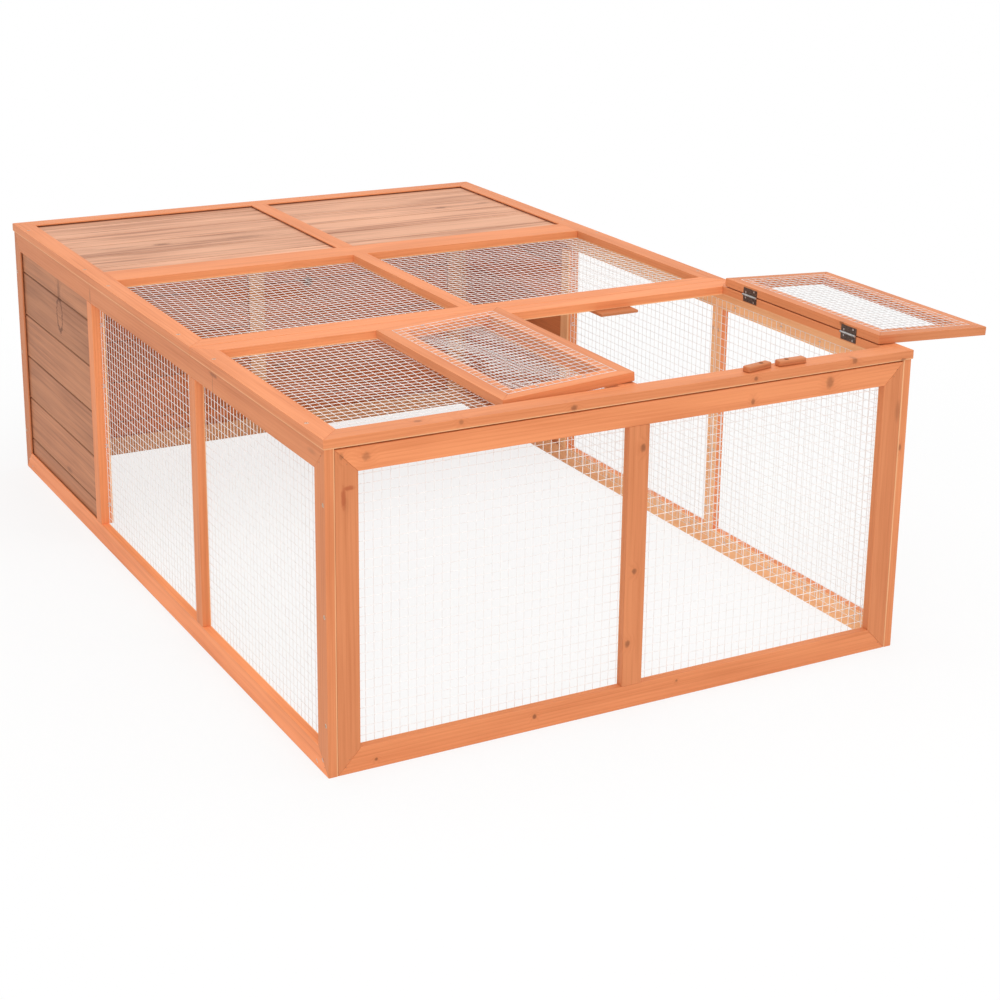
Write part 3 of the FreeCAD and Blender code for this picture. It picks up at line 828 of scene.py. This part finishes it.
STAINED_TIMBER = stained_wood(
    "stained_timber", (TIMBER_PALE, TIMBER_DEEP, TIMBER_INSIDE_LIT), TIMBER_KNOTS, (), STAIN_RUNS,
    TIMBER_SHARES, roughness=0.44)
SIDE_BOARDS = stained_wood(
    "side_boards", (SIDE_BOARD_PALE, SIDE_BOARD_DEEP, SIDE_BOARD_INSIDE_LIT), BOARD_KNOTS, BOARD_LOOPS, (),
    BOARD_SHARES, roughness=0.50)
ROOF_BOARDS = stained_wood(
    "roof_boards", (ROOF_BOARD_PALE, ROOF_BOARD_DEEP, ROOF_BOARD_PALE), BOARD_KNOTS, (), (),
    ROOF_SHARES, roughness=0.46)
GALVANISED = mottled_metal(
    "galvanised_wire", WIRE_PALE, WIRE_DULL, scale=90.0, metallic=0.2, roughness=0.42)
# The door meshes get a darker copy of the wire, with painted shade in its colour
SHADED_DOOR_WIRE = mottled_metal(
    "door_wire", SHADED_DOOR_WIRE_PALE, SHADED_DOOR_WIRE_DULL, scale=90.0, metallic=0.3, roughness=0.42)
BRONZED = mottled_metal("bronzed_steel", BRONZE, BRONZE_WORN, scale=420.0, metallic=0.7, roughness=0.34)
ZINC_STEEL = mottled_metal("zinc_steel", ZINC, ZINC_DULL, scale=600.0, metallic=0.9, roughness=0.3)
SCREW_STEEL = mottled_metal(
    "screw_steel", SCREW_PALE, SCREW_DULL, scale=600.0, metallic=0.6, roughness=0.36)


# Finished pieces

def dress(piece, material, body, nodes=()):
    """Gives a finished piece its material and what it moves with, and hides the frame nodes that it
    replaces.
    """
    piece.data.materials.clear()
    piece.data.materials.append(material)
    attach(piece, body)
    if nodes:
        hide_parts(*nodes)
    return piece


def mark_grain(piece, low, high, seed, tone, lining):
    """Writes each point's place along, across and through its length of wood, inner side positive."""
    thin, wide, long = by_length(low, high)
    centre, half = (low + high) / 2, (high - low) / 2
    inner_way = 1 if CAGE_MIDDLE[thin] > centre[thin] else -1
    marks = piece.data.attributes
    for name, kind in (("grain", "FLOAT_VECTOR"), ("stock", "FLOAT_VECTOR"),
                       ("tone", "FLOAT"), ("lining", "FLOAT")):
        marks.new(name, kind, "POINT")
    for vertex in piece.data.vertices:
        away = vertex.co - centre
        marks["grain"].data[vertex.index].vector = (away[long], away[wide], away[thin] * inner_way)
        marks["stock"].data[vertex.index].vector = (half[wide], half[thin], seed)
        marks["tone"].data[vertex.index].value = tone
        # A flag for whether the inner face takes painted bounce light
        marks["lining"].data[vertex.index].value = lining


def mitre_ends(points):
    """In edit mode, saws the ends of a block to the slant of a solid's ends."""
    low, high = corners(points)
    thin, wide, long = by_length(low, high)
    for end, way in ((min, -1), (max, 1)):
        near = end(p[long] for p in points if p[wide] - low[wide] < NEAR)
        far = end(p[long] for p in points if high[wide] - p[wide] < NEAR)
        if abs(near - far) > NEAR:
            start = axis_vector(long, near) + axis_vector(wide, low[wide])
            run = axis_vector(long, far) + axis_vector(wide, high[wide]) - start
            normal = run.cross(axis_vector(thin)).normalized()
            if normal[long] * way < 0:
                normal.negate()
            bpy.ops.mesh.select_all(action="SELECT")
            bpy.ops.mesh.bisect(plane_co=start, plane_no=normal, use_fill=True, clear_outer=True)


def length_of_timber(points, seed, tone, lining, cutters):
    """One planed length with sawn ends, eased edges, and any housings cut in it."""
    low, high = corners(points)
    long = by_length(low, high)[2]
    piece = block("length", low, high)
    edit(piece)
    mitre_ends(points)
    pick(piece, "edges", lambda edge: abs(edge_run(edge)[long]) > ALIGNED)
    bevel(ARRIS, ARRIS_STEPS)
    pick(piece, "edges", lambda edge: sum(abs(f.normal[long]) > MOSTLY for f in edge.link_faces) == 1)
    bevel(SAWN_EASE)
    end_edit()
    for start, end, make in cutters:
        if all(start[axis] < high[axis] - NEAR and end[axis] > low[axis] + NEAR for axis in range(3)):
            cut(piece, make())
    soften(piece)
    mark_grain(piece, low, high, seed, tone, lining)
    return piece


def screw_pockets(node, size):
    """Cutters for the countersinks of a node's screws, each with the part of it that lies in wood."""
    radius = size["head"] + SCREW_PLAY
    depth = size["depth"] + SCREW_PLAY
    core = Vector((NEAR, NEAR, NEAR)) * 2
    pockets = []
    for head, way in screw_heads(node):
        turn = way.to_track_quat("Z", "Y").to_euler()
        centre = head - way * (depth / 2 - NEAR)
        inner = head - way * depth / 2
        pockets.append((inner - core, inner + core, lambda centre=centre, turn=turn: rod(
            "pocket", radius, depth + 2 * NEAR, SCREW_SIDES, centre, turn)))
    return pockets


def board_fields(node):
    """The boards of a node by field, each field from its low edge up."""
    fields = {}
    for points in solids(node):
        low, high = corners(points)
        fields.setdefault(round(low[by_length(low, high)[2]], 3), []).append(points)
    return list(fields.values())


def board_rebates():
    """Cutters for the rebates that the boards lie in, each with a crack left over the boards."""
    rebates = []
    play = Vector((REBATE_PLAY, REBATE_PLAY, REBATE_PLAY))
    for node, rail, axis, way in (("rear_roof_boards", "rear_roof_rear_rail", 2, -1),
                                  ("rear_boards", "rear_top_rail", 1, 1),
                                  ("left_boards", "left_top_rail", 0, 1),
                                  ("right_boards", "right_top_rail", 0, -1)):
        rail_low, rail_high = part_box(rail)
        for field in board_fields(node):
            low, high = corners([p for points in field for p in points])
            low, high = low - play, high + play
            if way < 0:
                low[axis] = rail_low[axis] - NEAR
                high[axis] += REBATE_CRACK
            else:
                high[axis] = rail_high[axis] + NEAR
                low[axis] -= REBATE_CRACK
            rebates.append((low, high, lambda low=low, high=high: block("rebate", low, high)))
    return rebates


def timber_pieces():
    """Every rail, stile, bar and ledge, from the frame nodes with the timber finish."""
    cutters = board_rebates() + screw_pockets("frame_screws", FRAME_SCREW)
    for node in nodes_of("stained_frame"):
        if node.endswith("turn_button"):
            continue
        body = body_of(node)
        opened = opening(body)
        chance = random.Random(node)
        # This piece's brightness: its own tone, and for some pieces painted light and shade
        tone = TIMBER_TONES_AND_SHADE.get(node, 1.0)
        fixed = body == "cage"
        lengths = []
        for points in solids(node, opened.inverted()):
            seed = chance.random()
            stray = chance.uniform(*TIMBER_STRAY)
            lengths.append(
                length_of_timber(points, seed, tone * stray, float(fixed), cutters if fixed else ()))
        piece = joined(node + "_timber", lengths)
        piece.data.transform(opened)
        dress(piece, STAINED_TIMBER, body, (node,))


def one_board(points, has_tongue, has_groove, seed, tone):
    """One board with a tongue on its low edge and a groove in its high edge."""
    low, high = corners(points)
    thin, wide, long = by_length(low, high)
    centre, half = (low + high) / 2, (high - low) / 2
    piece = block("board", low, high)
    edit(piece)
    for way in (-1, 1):
        bpy.ops.mesh.select_all(action="SELECT")
        plane = centre + axis_vector(thin, way * half[thin] * TONGUE_SHARE)
        bpy.ops.mesh.bisect(plane_co=plane, plane_no=axis_vector(thin))
    for wanted, way, reach in ((has_tongue, -1, -TONGUE), (has_groove, 1, -GROOVE)):
        if wanted:
            pick(piece, "faces", lambda face: face.normal[wide] * way > FACING
                 and abs(face.calc_center_median()[thin] - centre[thin]) < NEAR)
            bpy.ops.mesh.extrude_region_move(
                TRANSFORM_OT_translate={"value": axis_vector(wide, reach)})
    outer_way = -1 if CAGE_MIDDLE[thin] > centre[thin] else 1
    for way, ease in ((outer_way, BOARD_ARRIS), (-outer_way, SAWN_EASE)):
        pick(piece, "edges", lambda edge: abs(edge_run(edge)[long]) > ALIGNED and all(
            abs((v.co[thin] - centre[thin]) * way - half[thin]) < NEAR
            and abs(abs(v.co[wide] - centre[wide]) - half[wide]) < NEAR for v in edge.verts))
        bevel(ease)
    end_edit()
    soften(piece)
    mark_grain(piece, low, high, seed, tone, 1.0)
    return piece


def board_pieces():
    """The boarded walls and the boarded half of the roof."""
    for node in nodes_of("stained_board"):
        chance = random.Random(node)
        boards = []
        for field in board_fields(node):
            for number, points in enumerate(field):
                boards.append(one_board(points, number > 0, number < len(field) - 1,
                                        chance.random(), chance.uniform(*BOARD_STRAY)))
        piece = joined(node + "_planks", boards)
        material = ROOF_BOARDS if "roof" in node else SIDE_BOARDS
        dress(piece, material, "cage", (node,))


# Wire mesh and what holds it

ALONG_TURN = ((0, QUARTER_TURN, 0), (QUARTER_TURN, 0, 0), (0, 0, 0))


def wire_step(length):
    """How many gaps fit a length of mesh, an even number, and the pitch they come out at."""
    gaps = 2 * max(1, round((length - WIRE) / (2 * WIRE_PITCH)))
    return gaps, (length - WIRE) / gaps


def run_of_wires(low, high, along, across, through, way):
    """Parallel wires over the whole of a mesh."""
    gaps, step = wire_step(high[across] - low[across])
    first = (low + high) / 2
    first[across] = low[across] + WIRE / 2
    first[through] += way * WIRE * WIRE_WELD_SHARE
    wire = rod("wires", WIRE / 2, high[along] - low[along], WIRE_SIDES, first, ALONG_TURN[along])
    edit(wire)
    pick(wire, "edges", lambda edge: abs(edge_run(edge)[along]) > ALIGNED)
    bpy.ops.mesh.subdivide(number_cuts=WIRE_CUTS)
    end_edit()
    apply_modifier(wire, "ARRAY", count=gaps + 1, use_relative_offset=False, use_constant_offset=True,
                   constant_offset_displace=axis_vector(across, step))
    smooth(wire, WIRE_SMOOTH_ANGLE)
    return wire


def settle(piece, low, high, through, loose):
    """Lets the wires wander a little, and a loose mesh hang and ripple between its timbers."""
    size = high - low
    plane = [axis for axis in range(3) if axis != through]
    for vertex in piece.data.vertices:
        hang = 1.0
        for axis in plane:
            share = min(1.0, max(0.0, (vertex.co[axis] - low[axis]) / size[axis]))
            hang *= math.sin(math.pi * share)
        wander = noise.noise_vector(vertex.co / WIRE_WANDER_LENGTH) * WIRE_WANDER
        for axis in plane:
            vertex.co[axis] += wander[axis] * hang
        if loose:
            ripple = noise.noise(vertex.co / ROOF_RIPPLE_LENGTH) * ROOF_RIPPLE
            vertex.co[through] += (ripple - ROOF_SAG) * hang


def inward(low, high):
    """The direction from a mesh to the inside of the cage."""
    through = by_length(low, high)[0]
    middle = (cad_box[0] + cad_box[1]) / 2
    middle.x = 0
    return axis_vector(through, 1 if middle[through] > low[through] else -1)


def staple_model():
    """A wire staple at the origin, its crown along X and its legs down."""
    half = STAPLE_CROWN / 2
    low = Vector((-half, -STAPLE_WIRE / 2, 0))
    high = Vector((half, STAPLE_WIRE / 2, STAPLE_WIRE))
    piece = block("staple", low, high)
    edit(piece)
    for way in (-1, 1):
        bpy.ops.mesh.select_all(action="SELECT")
        bpy.ops.mesh.bisect(plane_co=(way * (half - STAPLE_WIRE), 0, 0), plane_no=(1, 0, 0))
    pick(piece, "faces", lambda face: face.normal.z < -FACING
         and abs(face.calc_center_median().x) > half - STAPLE_WIRE)
    bpy.ops.mesh.extrude_region_move(TRANSFORM_OT_translate={"value": (0, 0, -STAPLE_LEG)})
    pick(piece, "edges", lambda edge: abs(edge_run(edge).y) > FACING
         and all(v.co.z > STAPLE_WIRE - NEAR and abs(v.co.x) > half - NEAR for v in edge.verts))
    bevel(STAPLE_WIRE / 2, STAPLE_STEPS)
    end_edit()
    return piece


def staple_places(low, high):
    """Staples along all four edges of a mesh, each over a wire."""
    _, first, second = by_length(low, high)
    up = inward(low, high)
    places = []
    for along, across in ((first, second), (second, first)):
        gaps, step = wire_step(high[along] - low[along])
        count = max(2, round((high[along] - low[along]) / STAPLE_SPACING))
        for edge in (low[across] + STAPLE_INSET, high[across] - STAPLE_INSET):
            for number in range(count):
                wire = round((number + 0.5) / count * gaps)
                place = (low + high) / 2
                place[along] = low[along] + WIRE / 2 + wire * step
                place[across] = edge
                place += up * (WIRE / 2 - STAPLE_LIFT)
                places.append(standing(place, up, axis_vector(along)))
    return places


def mesh_pieces():
    """Every wire mesh, with the staples that hold it on the inner side."""
    noise.seed_set(WIRE_WANDER_SEED)
    staples = {}
    for node in nodes_of("galvanised_wire"):
        body = body_of(node)
        opened = opening(body)
        points = [opened.inverted() @ v.co for v in frame["nodes"][node].data.vertices]
        low, high = corners(points)
        through, first, second = by_length(low, high)
        way = inward(low, high)[through]
        if body != "cage":
            low, high = (corner - axis_vector(through, way * DOOR_MESH_PRESS) for corner in (low, high))
        wires = [run_of_wires(low, high, first, second, through, way),
                 run_of_wires(low, high, second, first, through, -way)]
        piece = joined(node + "_wires", wires)
        settle(piece, low, high, through, "roof" in node)
        piece.data.transform(opened)
        # Door meshes take the darker wire, which carries painted shade
        dress(piece, GALVANISED if body == "cage" else SHADED_DOOR_WIRE, body, (node,))
        staples.setdefault(body, []).extend(opened @ place for place in staple_places(low, high))
    for body, places in staples.items():
        if body == "cage":
            places = places + corner_staples()
        dress(copies(body + "_mesh_staples", staple_model(), places), ZINC_STEEL, body)


def corner_staples():
    """Staples across the corners of the side walls, on the outside."""
    places = []
    for side, way in (("left", -1), ("right", 1)):
        low, high = corners([*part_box(side + "_top_rail"), *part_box(side + "_bottom_rail")])
        face = low.x if way < 0 else high.x
        for y, inward_y in ((low.y, 1), (high.y, -1)):
            for in_y, in_z in CORNER_STAPLES:
                place = Vector((face - way * STAPLE_LIFT * 2, y + inward_y * in_y, low.z + in_z))
                slant = Vector((0, 1, inward_y)).normalized()
                places.append(standing(place, axis_vector(0, way), slant))
    return places


# Screws, brads and hinges

def screw_model(name, size):
    """A cross-head screw at the origin, its head flush with the ground and its shank down."""
    shank = size["length"] - size["depth"]
    piece = rod(name, size["shank"], shank, SCREW_SIDES, (0, 0, -size["depth"] - shank / 2))
    edit(piece)
    pick(piece, "faces", lambda face: face.normal.z > FACING)
    grow = size["head"] / size["shank"]
    bpy.ops.mesh.extrude_region_move(TRANSFORM_OT_translate={"value": (0, 0, size["depth"])})
    bpy.ops.transform.resize(value=(grow, grow, 1))
    end_edit()
    reach = size["head"] * CROSS_LENGTH_SHARE / 2
    half = size["head"] * CROSS_WIDTH_SHARE / 2
    deep = size["depth"] * CROSS_DEPTH_SHARE
    for x, y in ((reach, half), (half, reach)):
        cut(piece, block("slot", Vector((-x, -y, -deep)), Vector((x, y, deep))))
    smooth(piece)
    return piece


def upright_places(heads):
    """Where a screw goes for each head and its outward direction."""
    places = []
    for number, (head, way) in enumerate(heads):
        along = Vector((0, 1, 0)) if abs(way.y) < MOSTLY else Vector((1, 0, 0))
        turned = Matrix.Rotation(number * SCREW_TURN_STEP, 3, way) @ along
        places.append(standing(head, way, turned))
    return places


def screw_pieces():
    """The screws of the frames and of the turn buttons."""
    for name, size, material, node_slot in (("frame_screw", FRAME_SCREW, SCREW_STEEL, "zinc_steel"),
                                            ("turn_button_screw", BUTTON_SCREW, BRONZED, "bronzed_steel")):
        node = name + "s"
        places = upright_places(screw_heads(node))
        piece = copies(name + "_heads", screw_model("screw", size), places)
        dress(piece, material, "cage", (node,))


def brad_model():
    """A brad head at the origin with a set dimple."""
    piece = rod("brad", BRAD_R, BRAD_HEIGHT, BRAD_SIDES, (0, 0, BRAD_PROUD - BRAD_HEIGHT / 2))
    edit(piece)
    pick(piece, "faces", lambda face: face.normal.z > FACING)
    bpy.ops.mesh.inset(thickness=BRAD_R * BRAD_DIMPLE_SHARE)
    bpy.ops.transform.translate(value=(0, 0, -BRAD_PROUD * 2))
    end_edit()
    return piece


def brad_pieces():
    """Brads in the four corners of each wall."""
    places = []
    for wall, axis, way in (("front", 1, -1), ("rear", 1, 1), ("left", 0, -1), ("right", 0, 1)):
        low, high = corners([*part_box(wall + "_top_rail"), *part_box(wall + "_bottom_rail")])
        across = 1 - axis
        face = low[axis] if way < 0 else high[axis]
        for end, in_end in ((low[across], 1), (high[across], -1)):
            for level, in_level in ((low.z, 1), (high.z, -1)):
                for in_across, in_z in BRAD_PLACES:
                    place = axis_vector(axis, face) + axis_vector(across, end + in_end * in_across)
                    place.z = level + in_level * in_z
                    places.append(standing(place, axis_vector(axis, way), Vector((0, 0, 1))))
    dress(copies("corner_brads", brad_model(), places), BRONZED, "cage")


def eased_copy(name, node):
    """A merged copy of a frame node with its edges eased."""
    piece = bpy.data.objects.new(name, frame["nodes"][node].data.copy())
    bpy.context.scene.collection.objects.link(piece)
    edit(piece)
    bpy.ops.mesh.customdata_custom_splitnormals_clear()
    bpy.ops.mesh.select_all(action="SELECT")
    bpy.ops.mesh.remove_doubles(threshold=MERGE)
    bpy.ops.mesh.dissolve_limited(angle_limit=HINGE_FLAT_ANGLE)
    end_edit()
    apply_modifier(piece, "BEVEL", width=HINGE_EASE, segments=1, limit_method="ANGLE",
                   angle_limit=HINGE_EDGE_ANGLE)
    soften(piece)
    return piece


def mark_barrel_highlights(plates):
    """Marks the knuckles round the pins for a painted highlight along the barrels."""
    pins = [joint_place(side + "_door_hinge") for side in ("left", "right")]
    bare = plates.data.attributes.new("bare", "FLOAT", "POINT")
    for vertex in plates.data.vertices:
        reach = min(math.hypot(vertex.co.x - pin.x, vertex.co.z - pin.z) for pin in pins)
        bare.data[vertex.index].value = BARREL_HIGHLIGHT_SHARE if reach < BARREL_REACH else 0.0


def hinge_screw_places(node, opened):
    """Two staggered screws in the plate of each hinge leaf."""
    places = []
    for points in solids(node, opened.inverted()):
        low, high = corners(points)
        plate = [p for p in points if p.z < low.z + NEAR]
        face = sum(p.x for p in plate) / len(plate)
        way = 1 if (low.x + high.x) / 2 > face else -1
        outer = face + way * HINGE_LEAF / 2
        middle_y = (low.y + high.y) / 2
        middle_z = low.z + (joint_place("left_door_hinge").z - low.z) * HINGE_SCREW_HEIGHT_SHARE
        for end in (-1, 1):
            place = Vector((outer + way * HINGE_SCREW_PROUD, middle_y + end * HINGE_SCREW_SPREAD,
                            middle_z + end * HINGE_SCREW_STAGGER))
            places.append(opened @ standing(place, axis_vector(0, way), Vector((0, 1, 0))))
    return places


def hinge_pieces():
    """Hinge leaves, their screws and their pins."""
    screws = {}
    for node in nodes_of("bronzed_steel"):
        body = body_of(node)
        plates = eased_copy(node + "_plates", node)
        mark_barrel_highlights(plates)
        dress(plates, BRONZED, body, (node,))
        screws[body] = hinge_screw_places(node, opening(body))
    for body, places in screws.items():
        piece = copies(body + "_hinge_screws", screw_model("screw", HINGE_SCREW), places)
        dress(piece, ZINC_STEEL, body)
    dress(eased_copy("hinge_pin_rods", "hinge_pins"), ZINC_STEEL, "cage", ("hinge_pins",))


def button_pieces():
    """The two wooden turn buttons, the left one the mirror of the right and a little turned."""
    low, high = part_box("right_turn_button")
    right_pivot = joint_place("right_button_turn")
    for side, way in (("left", -1), ("right", 1)):
        pivot = joint_place(side + "_button_turn")
        ends = sorted(pivot.x + way * (x - right_pivot.x) for x in (low.x, high.x))
        start, end = Vector((ends[0], low.y, low.z)), Vector((ends[1], high.y, high.z))
        piece = block(side + "_turn_button_wood", start, end)
        edit(piece)
        pick(piece, "edges", lambda edge: abs(edge_run(edge).z) > FACING)
        bevel(BUTTON_CORNER, BUTTON_STEPS)
        pick(piece, "edges", lambda edge: abs(edge_run(edge).z) < LEVEL)
        bevel(BUTTON_ROUND, BUTTON_STEPS)
        end_edit()
        line_z = start.z + (end.z - start.z) * BUTTON_LINE_SHARE
        for y in (start.y, end.y):
            groove_low = Vector((start.x - NEAR, y - BUTTON_LINE, line_z - BUTTON_LINE / 2))
            groove_high = Vector((end.x + NEAR, y + BUTTON_LINE, line_z + BUTTON_LINE / 2))
            cut(piece, block("groove", groove_low, groove_high))
        seat = Vector((pivot.x, pivot.y, end.z))
        cut(piece, rod("recess", BUTTON_RECESS_R, 2 * BUTTON_RECESS, BUTTON_RECESS_SIDES, seat))
        hole = Vector((pivot.x, pivot.y, start.z))
        hole_r = BUTTON_SCREW["shank"] + SCREW_PLAY
        cut(piece, rod("hole", hole_r, 4 * BUTTON_RECESS, SCREW_SIDES, hole))
        soften(piece)
        node = side + "_turn_button"
        # The turn buttons are darkened: partly their own tone, partly painted shade on their sides
        mark_grain(piece, start, end, random.Random(side).random(), TIMBER_TONES_AND_SHADE[node], 0.0)
        if side == "left":
            pin = Matrix.Translation(pivot)
            piece.data.transform(pin @ Matrix.Rotation(LEFT_BUTTON_TURN, 4, "Z") @ pin.inverted())
        dress(piece, STAINED_TIMBER, side + "_button", (node,))


# Stage

def camera_rays(tree):
    """1 for what the camera sees, straight or in a reflection."""
    path = tree.nodes.new("ShaderNodeLightPath").outputs
    seen = sums(tree, "ADD", path["Is Camera Ray"], path["Is Glossy Ray"], clamp=True)
    return sums(tree, "ADD", seen, path["Is Transmission Ray"], clamp=True)


def mixed_shader(tree, factor, first, second):
    """Two shaders mixed."""
    return shader_node(tree, "ShaderNodeMixShader", {0: factor, 1: first, 2: second}).outputs[0]


def studio_world(strength):
    """Even pale light all round, seen as white."""
    world = bpy.data.worlds.new("studio")
    bpy.context.scene.world = world
    world.use_nodes = True
    tree = world.node_tree
    light = tree.nodes["Background"]
    light.inputs["Color"].default_value = (*WHITE, 1.0)
    light.inputs["Strength"].default_value = strength
    seen = shader_node(tree, "ShaderNodeBackground", {"Color": (*WHITE, 1.0), "Strength": 1.0})
    mixed = mixed_shader(tree, camera_rays(tree), light.outputs[0], seen.outputs[0])
    tree.links.new(mixed, tree.nodes["World Output"].inputs["Surface"])


def studio_floor():
    """A white floor that keeps a soft trace of the cage's shadow, and none further out."""
    bpy.ops.object.select_all(action="DESELECT")
    bpy.ops.mesh.primitive_plane_add(size=FLOOR_SIZE, location=(0, 0, 0))
    floor = placed("floor")
    material, tree, _ = new_material("white_floor")
    tree.nodes.remove(tree.nodes["Principled BSDF"])
    paper = shader_node(tree, "ShaderNodeBsdfDiffuse", {"Color": (*FLOOR_PAPER, 1.0)}).outputs[0]
    glow = shader_node(tree, "ShaderNodeEmission", {"Color": (*WHITE, 1.0), "Strength": 1.0}).outputs[0]
    point = tree.nodes.new("ShaderNodeTexCoord").outputs["Object"]
    bright = ramp(tree, vector_length(tree, point), *FLOOR_FADE)
    shown = mixed_shader(tree, bright, paper, glow)
    mixed = mixed_shader(tree, camera_rays(tree), paper, shown)
    tree.links.new(mixed, tree.nodes["Material Output"].inputs["Surface"])
    floor.data.materials.append(material)


def soft_light(name, place, aim, size, power):
    """A square soft box."""
    bpy.ops.object.light_add(type="AREA", location=place)
    lamp = bpy.context.object
    lamp.name = name
    lamp.data.size = size
    lamp.data.energy = power
    lamp.rotation_euler = (Vector(aim) - Vector(place)).to_track_quat("-Z", "Y").to_euler()


def photo_camera():
    """The camera at the photograph's viewing angle."""
    bpy.ops.object.camera_add(location=CAMERA_PLACE)
    camera = bpy.context.object
    facing = (CAMERA_AIM - CAMERA_PLACE).to_track_quat("-Z", "Y").to_matrix()
    camera.matrix_world = Matrix.Translation(CAMERA_PLACE) @ (
        facing @ Matrix.Rotation(CAMERA_ROLL, 3, "Z")).to_4x4()
    camera.data.lens = CAMERA_LENS
    camera.data.sensor_width = CAMERA_SENSOR
    camera.data.shift_y = CAMERA_SHIFT_Y
    bpy.context.scene.camera = camera


timber_pieces()
board_pieces()
mesh_pieces()
screw_pieces()
brad_pieces()
hinge_pieces()
button_pieces()

bpy.context.scene.view_settings.view_transform = "Standard"
studio_world(WORLD_STRENGTH)
studio_floor()
for soft_box in SOFT_BOXES:
    soft_light(*soft_box)
photo_camera()
